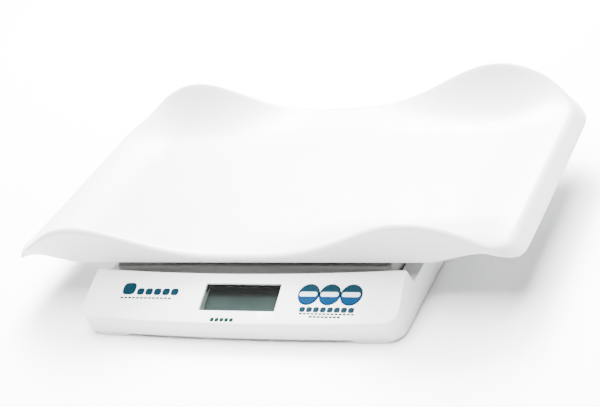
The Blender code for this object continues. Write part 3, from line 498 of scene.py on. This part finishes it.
def rounded_rectangle(x0, x1, y0, y1, radius, steps=8, front_radius=None):
    front = radius if front_radius is None else front_radius
    corners = ((x1, y0, -90, front), (x1, y1, 0, radius), (x0, y1, 90, radius),
               (x0, y0, 180, front))
    points = []
    for x, y, start, r in corners:
        cx = x - math.copysign(r, 2 * x - x0 - x1)
        cy = y - math.copysign(r, 2 * y - y0 - y1)
        for i in range(steps + 1):
            angle = math.radians(start + 90.0 * i / steps)
            points.append((cx + r * math.cos(angle), cy + r * math.sin(angle)))
    return points


def smooth_step(value):
    value = min(max(value, 0.0), 1.0)
    return value * value * (3.0 - 2.0 * value)


def panel_matrix(x=0.0, up=0.0):
    """From panel coordinates (along, up the slope, out of its face) to the frame."""
    place = Vector((x, PANEL_Y + up * math.cos(PANEL_SLOPE), PANEL_Z + up * math.sin(PANEL_SLOPE)))
    return Matrix.Translation(place) @ Matrix.Rotation(PANEL_SLOPE, 4, "X")


def on_panel(bm):
    """Take a mesh drawn in panel coordinates to its place on the console."""
    bmesh.ops.transform(bm, matrix=panel_matrix(), verts=bm.verts)
    return bm


# ---------------------------------------------------------------- tray
def hump_share(x):
    """How far the rim has risen to a hump: 0 in the middle of the tray, 1 at the crest."""
    x = abs(x)
    if x <= TRAY_HUMP_X:
        return 0.5 - 0.5 * math.cos(math.pi * (x / TRAY_HUMP_X) ** 1.5)
    fall = min((x - TRAY_HUMP_X) / (TRAY_FALL_X - TRAY_HUMP_X), 1.0) ** TRAY_FALL_POWER
    return TRAY_END_SHARE + (1.0 - TRAY_END_SHARE) * (0.5 + 0.5 * math.cos(math.pi * fall))


def tray_height(x, y):
    """Height of the tray's upper face: a flat floor, raised ends, and sides that dish up."""
    run = TRAY_CREST_X - TRAY_END_START
    end_rise = TRAY_END_RISE * smooth_step((abs(x) - TRAY_END_START) / run)
    rim_rise = TRAY_MID_RISE + (TRAY_HUMP_RISE - TRAY_MID_RISE) * hump_share(x)
    depth = TRAY_CREST_Y + TRAY_BOW * hump_share(x)
    share = (abs(y) / depth - TRAY_FLAT_SHARE) / (1.0 - TRAY_FLAT_SHARE)
    side_rise = max(rim_rise - end_rise, 0.0) * max(share, 0.0) ** TRAY_DISH_POWER
    return TRAY_FLOOR + end_rise + side_rise


def tray_crest_line(long_steps, short_steps, corner_steps):
    """Closed line along the top of the rim: (x, y, outward direction), bowed at the humps."""
    front_end = TRAY_FRONT_CORNER - TRAY_CREST_Y
    back_end = TRAY_CREST_Y - TRAY_BACK_CORNER
    corners = ((1, -1, -90, TRAY_FRONT_CORNER), (1, 1, 0, TRAY_BACK_CORNER),
               (-1, 1, 90, TRAY_BACK_CORNER), (-1, -1, 180, TRAY_FRONT_CORNER))
    points = []
    for index, (sx, sy, start, radius) in enumerate(corners):
        cx = sx * (TRAY_CREST_X - radius)
        cy = sy * (TRAY_CREST_Y - radius)
        for i in range(corner_steps + 1):
            angle = math.radians(start + 90.0 * i / corner_steps)
            along = (math.cos(angle), math.sin(angle))
            points.append((cx + radius * along[0], cy + radius * along[1], along))
        if index % 2 == 0:
            for i in range(1, short_steps):
                share = i / short_steps if sx > 0 else 1.0 - i / short_steps
                y = front_end + (back_end - front_end) * share
                points.append((sx * TRAY_CREST_X, y, (float(sx), 0.0)))
        else:
            for i in range(1, long_steps):
                points.append((cx * (1.0 - 2.0 * i / long_steps), sy * TRAY_CREST_Y,
                               (0.0, float(sy))))
    bowed = []
    for x, y, along in points:
        reach = abs(y) / TRAY_CREST_Y
        bowed.append((x, y + math.copysign(TRAY_BOW * hump_share(x) * reach, y), along))
    return bowed


def bezier(p0, p1, p2, p3, t):
    s = 1.0 - t
    return tuple(s ** 3 * a + 3 * s * s * t * b + 3 * s * t * t * c + t ** 3 * d
                 for a, b, c, d in zip(p0, p1, p2, p3))


def rim_points(x, y, along, roll_steps, skirt_steps):
    """Points from just past the crest to the bottom edge of the skirt or lip."""
    crest = tray_height(x, y)
    facing_end = math.degrees(math.atan2(abs(along[1]), abs(along[0])))
    lip = smooth_step((84.0 - facing_end) / 78.0)
    lift = smooth_step((abs(x) - SKIRT_LIFT_START) / (SKIRT_LIFT_END - SKIRT_LIFT_START))
    skirt_out = (SKIRT_Y - abs(y)) * abs(along[1]) ** 2
    skirt_z = min(SKIRT_Z + SKIRT_LIFT * lift, crest - RIM_DROP - 0.002)
    roll = (RIM_OUT + (LIP_ROLL_OUT - RIM_OUT) * lip, crest - RIM_DROP)
    edge = (skirt_out + (LIP_OUT - skirt_out) * lip,
            skirt_z + (crest - LIP_DROP - skirt_z) * lip)
    probe = 0.002
    rise = (crest - tray_height(x - along[0] * probe, y - along[1] * probe)) / probe
    scale = math.hypot(1.0, rise)
    run = (edge[0] - roll[0], edge[1] - roll[1])
    length = math.hypot(*run)
    reach = 0.55 * (roll[0] + RIM_DROP) * 0.5
    p1 = (reach / scale, crest + rise / scale * reach)
    p2 = (roll[0] - run[0] / length * reach, roll[1] - run[1] / length * reach)
    pairs = [bezier((0.0, crest), p1, p2, roll, i / roll_steps) for i in range(1, roll_steps + 1)]
    for i in range(1, skirt_steps + 1):
        t = i / skirt_steps
        pairs.append((roll[0] + run[0] * t, roll[1] + run[1] * t))
    return [(x + along[0] * out, y + along[1] * out, height) for out, height in pairs]


def make_tray(material):
    """Thin shell from the dished floor over the crest to the skirt, with bosses for the studs."""
    crest = tray_crest_line(44 * FINE, 16 * FINE, 6 * FINE)
    shares = [0.30, 0.42] + [0.50 + 0.50 * (i / (13 * FINE)) for i in range(13 * FINE + 1)]
    bm = bmesh.new()
    rings = []
    for share in shares:
        rings.append([(x * share, y * share, tray_height(x * share, y * share))
                      for x, y, along in crest])
    outer = [rim_points(x, y, along, 5 * FINE, 3) for x, y, along in crest]
    rings.extend([[points[i] for points in outer] for i in range(len(outer[0]))])
    made = add_loft(bm, rings, cap=False)
    bm.faces.new(list(reversed(made[0])))
    bmesh.ops.translate(bm, verts=bm.verts, vec=(0.0, TRAY_Y, -0.00004))
    bmesh.ops.recalc_face_normals(bm, faces=bm.faces)
    if sum(face.normal.z * face.calc_area() for face in bm.faces) < 0:
        bmesh.ops.reverse_faces(bm, faces=bm.faces)
    bmesh.ops.solidify(bm, geom=bm.faces, thickness=TRAY_SKIN)
    tray = object_from(bm, "tray_shell", material, 60.0)
    apply_modifier(tray, "BEVEL", width=0.0008, segments=3, limit_method="ANGLE",
                   angle_limit=math.radians(55))
    soften(tray, 60.0)
    bosses = bmesh.new()
    bosses.from_mesh(tray.data)
    for x, y in STUDS:
        add_turned(bosses, ((STUD_BOSS_R - 0.0006, STUD_BOSS_BOTTOM),
                            (STUD_BOSS_R, STUD_BOSS_BOTTOM + 0.0006), (STUD_BOSS_R, 0.0556)),
                   40, (x, y))
    bosses.to_mesh(tray.data)
    bosses.free()
    soften(tray, 60.0)
    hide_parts("tray")
    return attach(tray, "tray")


# ---------------------------------------------------------------- base cover
def console_bow(x):
    return CONSOLE_BOW * max(1.0 - (x / COVER_X_WIDE) ** 2, 0.0)


def bowed_point(x, y, z):
    """Bow the front forward; down along the panel's slope, so that the panel stays flat."""
    if y > CONSOLE_TOP_Y + 0.004:
        return (x, y, z)
    bow = console_bow(x)
    share = min(max((z - COVER_BOTTOM) / (NOSE_Z - COVER_BOTTOM), 0.0), 1.0)
    if y > CONSOLE_TOP_Y - 0.0005 and z < CONSOLE_TOP_Z - 0.008:
        share = 0.0
    return (x, y - bow, z - bow * math.tan(PANEL_SLOPE) * share)


def side_profile(inset):
    """Outline of the base in Y and Z, moved in by a wall; inset 0 is the outer face."""
    flat = math.tan(PANEL_SLOPE)
    steep = math.tan(NOSE_SLOPE)
    drop = inset / math.cos(PANEL_SLOPE)
    bend = (CONSOLE_BEND_Y + inset * 0.4, CONSOLE_BEND_Z - drop + inset * 0.4 * flat)
    nose = (NOSE_Y + inset, NOSE_Z - inset * 0.5)
    corner_y = (bend[1] - nose[1] - bend[0] * flat + nose[0] * steep) / (steep - flat)
    corner = (corner_y, nose[1] + (corner_y - nose[0]) * steep)
    points = [(NOSE_FOOT_Y + inset, COVER_BOTTOM)]
    radii = [0.0008 if not inset else 0.0]
    steps = 9 * FINE
    for i in range(steps + 1):
        t = i / steps
        points.append(tuple((1 - t) ** 2 * a + 2 * (1 - t) * t * b + t * t * c
                            for a, b, c in zip(nose, corner, bend)))
        radii.append(0.0)
    radii[1] = 0.0 if inset else 0.0004
    points.append((CONSOLE_TOP_Y, bend[1] + (CONSOLE_TOP_Y - bend[0]) * flat))
    radii.append(0.0014 if not inset else 0.0)
    points.append((CONSOLE_TOP_Y + 0.0025 - inset, LEDGE_TOP - inset))
    radii.append(0.0)
    points.append((COVER_BACK - 0.0020 - inset, LEDGE_TOP - inset))
    radii.append(0.0018 if not inset else 0.0)
    points.append((COVER_BACK - inset, COVER_BOTTOM))
    radii.append(0.0)
    return fillet(points, radii, 3 * FINE)


def cover_body(inset):
    """The side outline drawn along X and trimmed by a drafted block with round corners."""
    profile = side_profile(inset)
    if inset:
        profile = [(y, z - 0.002 if z < COVER_BOTTOM + 0.0001 else z) for y, z in profile]
    width = COVER_X_WIDE + 0.002
    stations = 24 * FINE
    bm = bmesh.new()
    add_loft(bm, [[bowed_point(width * (2.0 * i / stations - 1.0), y, z) for y, z in profile]
                  for i in range(stations + 1)])
    body = object_from(bm, "body_%d" % round(inset * 1e4), None)
    ends = bmesh.new()
    rings = []
    levels = ((-0.001, COVER_X_FOOT - 0.0002, NOSE_FOOT_Y, COVER_FRONT_CORNER),
              (NOSE_Z, COVER_X_WIDE, NOSE_Y, COVER_FRONT_CORNER + 0.002),
              (0.050, COVER_X_HIGH - 0.0004, NOSE_Y, COVER_CORNER_TOP))
    for height, half, edge, corner in levels:
        outline = rounded_rectangle(-half + inset, half - inset, edge - 0.0005 + inset,
                                    COVER_BACK + 0.0005 - inset, COVER_CORNER - inset,
                                    6 * FINE, corner - inset)
        first = outline[0]
        last = outline[-1]
        steps = 24 * FINE
        for i in range(1, steps):
            outline.append((last[0] + (first[0] - last[0]) * i / steps, first[1]))
        rings.append([(x, y - console_bow(x) if y < CONSOLE_TOP_Y else y, height)
                      for x, y in outline])
    add_loft(ends, rings)
    combine(body, ends, "INTERSECT")
    return body


def button_hole(index):
    """Cutter for one button, in panel coordinates, with a softened mouth."""
    hole = bmesh.new()
    add_turned(hole, ((BUTTON_HOLE_R, -0.006), (BUTTON_HOLE_R, -0.0003),
                      (BUTTON_HOLE_R + 0.0002, 0.0), (BUTTON_HOLE_R + 0.0010, 0.002)),
               BUTTON_HOLE_SIDES, (BUTTON_X + index * BUTTON_STEP, BUTTON_UP))
    return hole


def keys_cutter():
    """Cutter for the three key openings as one solid, because they overlap."""
    holes = [button_hole(i) for i in range(3)]
    well = object_from(holes[0], "button_well", None)
    combine(well, holes[1], "UNION")
    combine(well, holes[2], "UNION")
    wells = bmesh.new()
    wells.from_mesh(well.data)
    bpy.data.objects.remove(well, do_unlink=True)
    return on_panel(wells)


def window_cutter():
    """Cutter for the display's opening, with a softened mouth."""
    window = bmesh.new()
    rings = []
    for z, grow in ((-0.006, 0.0), (-0.0004, 0.0), (0.0, 0.0003), (0.002, 0.0011)):
        half_w = WINDOW_W / 2 + grow
        half_h = WINDOW_H / 2 + grow
        outline = rounded_rectangle(WINDOW_X - half_w, WINDOW_X + half_w, WINDOW_UP - half_h,
                                    WINDOW_UP + half_h, WINDOW_CORNER + grow, 4)
        rings.append([(x, y, z) for x, y in outline])
    add_loft(window, rings)
    return on_panel(window)


def platform_cutter():
    """Cutter for the opening in which the platform stands."""
    opening = bmesh.new()
    outline = rounded_rectangle(-OPENING_X, OPENING_X, OPENING_FRONT, OPENING_BACK, OPENING_CORNER)
    add_loft(opening, [[(x, y, z) for x, y in outline]
                       for z in (LEDGE_TOP - 0.006, LEDGE_TOP + 0.030)])
    return opening


def make_base_cover(material):
    """Upper shell of the base: hollow, with openings for the platform, display and keys."""
    cover = cover_body(0.0)
    cover.name = "housing_cover"
    cover.data.materials.clear()
    cover.data.materials.append(material)
    apply_modifier(cover, "BEVEL", width=0.0011, segments=3, limit_method="ANGLE",
                   angle_limit=math.radians(50), miter_outer="MITER_ARC")
    room = cover_body(COVER_WALL)
    hollow = bmesh.new()
    hollow.from_mesh(room.data)
    bpy.data.objects.remove(room, do_unlink=True)
    cut(cover, hollow)
    cut(cover, platform_cutter())
    cut(cover, window_cutter())
    cut(cover, keys_cutter())
    soften(cover, 35.0)
    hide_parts("base_cover")
    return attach(cover, "base")


# ---------------------------------------------------------------- smaller covers
def make_platform(material):
    """Hollow cover with four holes for the tray's studs and bosses for the bracket's screws."""
    bm = bmesh.new()
    outline = rounded_rectangle(-PLATFORM_X, PLATFORM_X, PLATFORM_FRONT, PLATFORM_BACK,
                                PLATFORM_CORNER, 5 * FINE)
    middle = (PLATFORM_FRONT + PLATFORM_BACK) / 2
    half_y = (PLATFORM_BACK - PLATFORM_FRONT) / 2

    def ring(inset, height):
        return [(x * (1 - inset / PLATFORM_X), middle + (y - middle) * (1 - inset / half_y), height)
                for x, y in outline]

    steps = 5 * FINE
    rings = [ring(COVER_WALL, PLATFORM_TOP - COVER_WALL), ring(COVER_WALL, PLATFORM_BOTTOM),
             ring(0.0, PLATFORM_BOTTOM), ring(0.0, PLATFORM_TOP - PLATFORM_EDGE)]
    for i in range(1, steps + 1):
        angle = math.radians(90.0 * i / steps)
        rings.append(ring(PLATFORM_EDGE * (1 - math.cos(angle)),
                          PLATFORM_TOP - PLATFORM_EDGE * (1 - math.sin(angle))))
    add_loft(bm, rings)
    cover = object_from(bm, "platform_shell", material, 50.0)
    bosses = bmesh.new()
    for x, y in BRACKET_SCREWS:
        add_rod(bosses, BRACKET_BOSS_R, BRACKET_TOP + 0.0003, PLATFORM_TOP - 0.001, (x, y))
    combine(cover, bosses, "UNION")
    holes = bmesh.new()
    for x, y in STUDS:
        add_rod(holes, STUD_HOLE_R, PLATFORM_TOP - 0.004, PLATFORM_TOP + 0.002, (x, y))
    for x, y in BRACKET_SCREWS:
        add_rod(holes, BRACKET_SCREW_R, BRACKET_TOP - 0.002, PLATFORM_TOP - 0.0035, (x, y))
    cut(cover, holes)
    soften(cover, 40.0)
    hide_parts("platform_cover")
    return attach(cover, "platform")


def make_buttons(material):
    """Domed keys, each with two tabs that hold it in the cover and a plunger for its switch."""
    for i, name in enumerate(BUTTON_NAMES):
        bm = bmesh.new()
        profile = [(BUTTON_R - 0.0003, -BUTTON_SKIRT), (BUTTON_R, 0.0003 - BUTTON_SKIRT)]
        for k in range(7):
            angle = math.radians(15.0 * k)
            profile.append((BUTTON_R - BUTTON_EDGE * (1 - math.cos(angle)),
                            BUTTON_PROUD - BUTTON_DOME - BUTTON_EDGE * (1 - math.sin(angle))))
        dome_reach = 0.93 * BUTTON_R
        for share in (0.75, 0.5, 0.25, 0.02):
            radius = BUTTON_R * share
            profile.append((radius, BUTTON_PROUD - BUTTON_DOME * (radius / dome_reach) ** 2))
        add_turned(bm, profile, 40 * FINE)
        tab_y = BUTTON_R + 0.0018
        add_box(bm, (-0.0040, -tab_y, -BUTTON_SKIRT), (0.0040, tab_y, 0.0009 - BUTTON_SKIRT))
        plunger_r = 0.0022
        add_turned(bm, ((plunger_r, -0.0057), (plunger_r, 0.0001 - BUTTON_SKIRT)), 20)
        key = object_from(bm, name + "_cap", material, 40.0)
        key.matrix_world = panel_matrix(BUTTON_X + i * BUTTON_STEP, BUTTON_UP)
        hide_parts(name)
        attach(key, name)


def make_lens(material):
    """Clear window that fills the display's opening, a little below the panel."""
    half_w = WINDOW_W / 2 - 0.0003
    half_h = WINDOW_H / 2 - 0.0003
    flange = COVER_WALL + 0.0003
    bm = bmesh.new()
    rings = []
    for z, grow in ((-flange, 0.0), (-0.0007, 0.0), (-0.0005, -0.0002)):
        outline = rounded_rectangle(-half_w - grow, half_w + grow, -half_h - grow, half_h + grow,
                                    0.0008, 4)
        rings.append([(x, y, z) for x, y in outline])
    add_loft(bm, rings)
    lens = object_from(bm, "display_lens", material, 30.0)
    lens.matrix_world = panel_matrix(WINDOW_X, WINDOW_UP)
    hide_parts("lcd_window")
    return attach(lens, "base")


def make_feet(material):
    """Round feet with a slightly dished underside and a rounded lower edge."""
    for index, (x, y) in enumerate(FOOT_PLACES):
        bm = bmesh.new()
        profile = [(FOOT_R - 0.0040, 0.0002), (FOOT_R - 0.0034, 0.0)]
        for k in range(5):
            angle = math.radians(22.5 * k)
            profile.append((FOOT_R - FOOT_EDGE + FOOT_EDGE * math.sin(angle),
                            FOOT_EDGE - FOOT_EDGE * math.cos(angle)))
        profile.append((FOOT_R, 0.0020))
        add_turned(bm, profile, 64, (x, y))
        foot = object_from(bm, "rubber_foot_%d" % (index + 1), material, 40.0)
        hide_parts("foot_%d" % (index + 1))
        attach(foot, "base")


# ---------------------------------------------------------------- printed marks
def make_mark(name, boxes, material):
    """Thin ink shapes on the panel, each (x, up, width, height) in panel coordinates."""
    bm = bmesh.new()
    for x, up, width, height in boxes:
        radius = min(width, height) * 0.35
        outline = rounded_rectangle(x - width / 2, x + width / 2, up - height / 2,
                                    up + height / 2, radius, 3)
        add_loft(bm, [[(a, b, z) for a, b in outline] for z in (-0.00002, 0.00004)])
    mark = object_from(on_panel(bm), name, material, 30.0)
    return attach(mark, "base")


def mark_row(count, x, step, up, width, height):
    return [(x + step * i, up, width, height) for i in range(count)]


def make_marks():
    """Plain blocks and dashes in place of the printed marks and words."""
    green = print_finish("green_ink", (0.000, 0.016, 0.011))
    teal = print_finish("teal_ink", (0.000, 0.012, 0.022))
    grey = print_finish("grey_ink", (0.001, 0.012, 0.017))
    make_mark("mark_below_window", mark_row(5, -0.0165, 0.0052, -0.0252, 0.0042, 0.0040), green)
    make_mark("mark_below_keys",
              mark_row(8, BUTTON_X - 0.0023, 0.0070, -0.0127, 0.0060, 0.0054), teal)
    make_mark("mark_fine_rows",
              mark_row(14, BUTTON_X - 0.0030, 0.0040, -0.0170, 0.0031, 0.0017)
              + mark_row(8, BUTTON_X + 0.0080, 0.0040, -0.0200, 0.0031, 0.0019), grey)
    make_mark("mark_left", [(-0.1205, 0.0065, 0.0150, 0.0130)]
              + mark_row(5, -0.1065, 0.0098, 0.0035, 0.0084, 0.0074), teal)
    make_mark("mark_left_row", mark_row(13, -0.1262, 0.0046, -0.0035, 0.0036, 0.0018), grey)


# ---------------------------------------------------------------- finishes of the other pieces
def paint(names, material):
    """Give CAD nodes a material; their shapes stay."""
    for name in names:
        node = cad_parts[name]
        node.data.materials.clear()
        node.data.materials.append(material)


def numbered(prefix, count):
    return ["%s_%d" % (prefix, i + 1) for i in range(count)]


def finish_inside():
    white = moulded("white_under", (0.70, 0.70, 0.69), (0.66, 0.66, 0.65), 0.45, 0.00006, 1500.0)
    paint(["base_plate", "battery_door"], white)
    paint(numbered("tray_stud", 4), rubber("stud_rubber", (0.06, 0.06, 0.065)))
    steel = metal("zinc_plate", (0.62, 0.62, 0.64), 0.34, (0.15, 1.0, 1.0), (0.50, 0.51, 0.50))
    screws = metal("screw_steel", (0.60, 0.60, 0.62), 0.28, (1.0, 1.0, 0.2), (0.45, 0.44, 0.42))
    paint(["platform_bracket", "cell_spacer_base", "cell_spacer_top", "battery_contact_left",
           "battery_contact_right"], steel)
    paint(numbered("platform_screw", 4) + numbered("cell_screw_base", 2)
          + numbered("cell_screw_top", 2) + numbered("case_screw", 6), screws)
    paint(["load_cell"], metal("milled_aluminium", (0.72, 0.73, 0.75), 0.36, (0.08, 1.0, 1.0),
                               (0.60, 0.61, 0.62)))
    paint(["gauge_cover"], rubber("sealant", (0.55, 0.55, 0.50)))
    paint(["cell_cable"], moulded("cable_sheath", (0.16, 0.16, 0.17), (0.13, 0.13, 0.14), 0.48))
    paint(["lcd_holder"], holder_finish())
    paint(["lcd_panel"], display_finish())
    paint(["main_board"], board_finish())
    paint(numbered("switch", 3), moulded("switch_nylon", (0.03, 0.03, 0.03), (0.04, 0.04, 0.04),
                                         0.42))
    paint(["battery_box"], moulded("box_plastic", (0.06, 0.06, 0.065), (0.075, 0.075, 0.08), 0.5))
    paint(numbered("battery", 4), battery_finish())


# ---------------------------------------------------------------- floor, light and camera
def make_floor():
    bm = bmesh.new()
    bmesh.ops.create_grid(bm, x_segments=1, y_segments=1, size=6.0)
    floor = object_from(bm, "floor", floor_finish())
    floor.location = (0.0, 0.0, -0.0001)


def add_light(name, place, width, depth, power):
    """Rectangular area light in watts, aimed at the middle of the base."""
    data = bpy.data.lights.new(name, "AREA")
    data.shape = "RECTANGLE"
    data.size = width
    data.size_y = depth
    data.energy = power
    lamp = bpy.data.objects.new(name, data)
    bpy.context.scene.collection.objects.link(lamp)
    lamp.location = place
    aim = Vector(LIGHT_TARGET) - Vector(place)
    lamp.rotation_mode = "QUATERNION"
    lamp.rotation_quaternion = aim.to_track_quat("-Z", "Y")


def make_light():
    """Soft light from above and behind, with a pale world that fills the shadows."""
    world = bpy.data.worlds.new("studio")
    world.use_nodes = True
    back = world.node_tree.nodes["Background"]
    back.inputs["Color"].default_value = (0.98, 0.99, 1.0, 1.0)
    back.inputs["Strength"].default_value = 0.55
    bpy.context.scene.world = world
    add_light("overhead", (0.00, 0.25, 1.90), 1.8, 3.0, 410.0)
    add_light("key", (-0.45, 1.15, 1.30), 0.9, 0.9, 350.0)


def make_camera():
    """Seen from the front right and above, turned about its own axis."""
    focal = 83.84                 # millimetres, on a sensor 36 mm wide
    distance = 1.42441
    target = Vector((-0.005268, TRAY_Y, 0.027486))
    a = math.radians(32.830)      # to the right of the front
    e = math.radians(28.792)      # above the floor
    r = math.radians(-18.459)     # roll
    back = Vector((math.sin(a) * math.cos(e), -math.cos(a) * math.cos(e), math.sin(e)))
    level = (-back).cross(Vector((0.0, 0.0, 1.0))).normalized()
    rise = level.cross(-back)
    right = level * math.cos(r) + rise * math.sin(r)
    up = rise * math.cos(r) - level * math.sin(r)
    place = target + back * distance
    data = bpy.data.cameras.new("camera")
    data.lens = focal
    data.sensor_width = 36.0
    data.clip_start = 0.01
    camera = bpy.data.objects.new("camera", data)
    bpy.context.scene.collection.objects.link(camera)
    camera.matrix_world = Matrix(((right.x, up.x, back.x, place.x),
                                  (right.y, up.y, back.y, place.y),
                                  (right.z, up.z, back.z, place.z), (0.0, 0.0, 0.0, 1.0)))
    bpy.context.scene.camera = camera


# ---------------------------------------------------------------- build
shell = moulded("white_shell", (0.53, 0.535, 0.54), (0.515, 0.52, 0.525), 0.36)
housing = moulded("white_housing", (0.61, 0.615, 0.62), (0.595, 0.60, 0.605), 0.40, 0.00005, 1900.0)
make_tray(shell)
make_base_cover(housing)
# the platform cover is grey plastic, and its colour is made darker still as painted shade for the
# gap under the tray
make_platform(moulded("grey_cover_painted_shade", (0.175, 0.174, 0.165), (0.155, 0.154, 0.147), 0.55))
make_buttons(key_finish())
make_lens(lens_finish())
make_feet(rubber("foot_rubber", (0.05, 0.05, 0.055)))
make_marks()
finish_inside()
make_floor()
make_light()
make_camera()
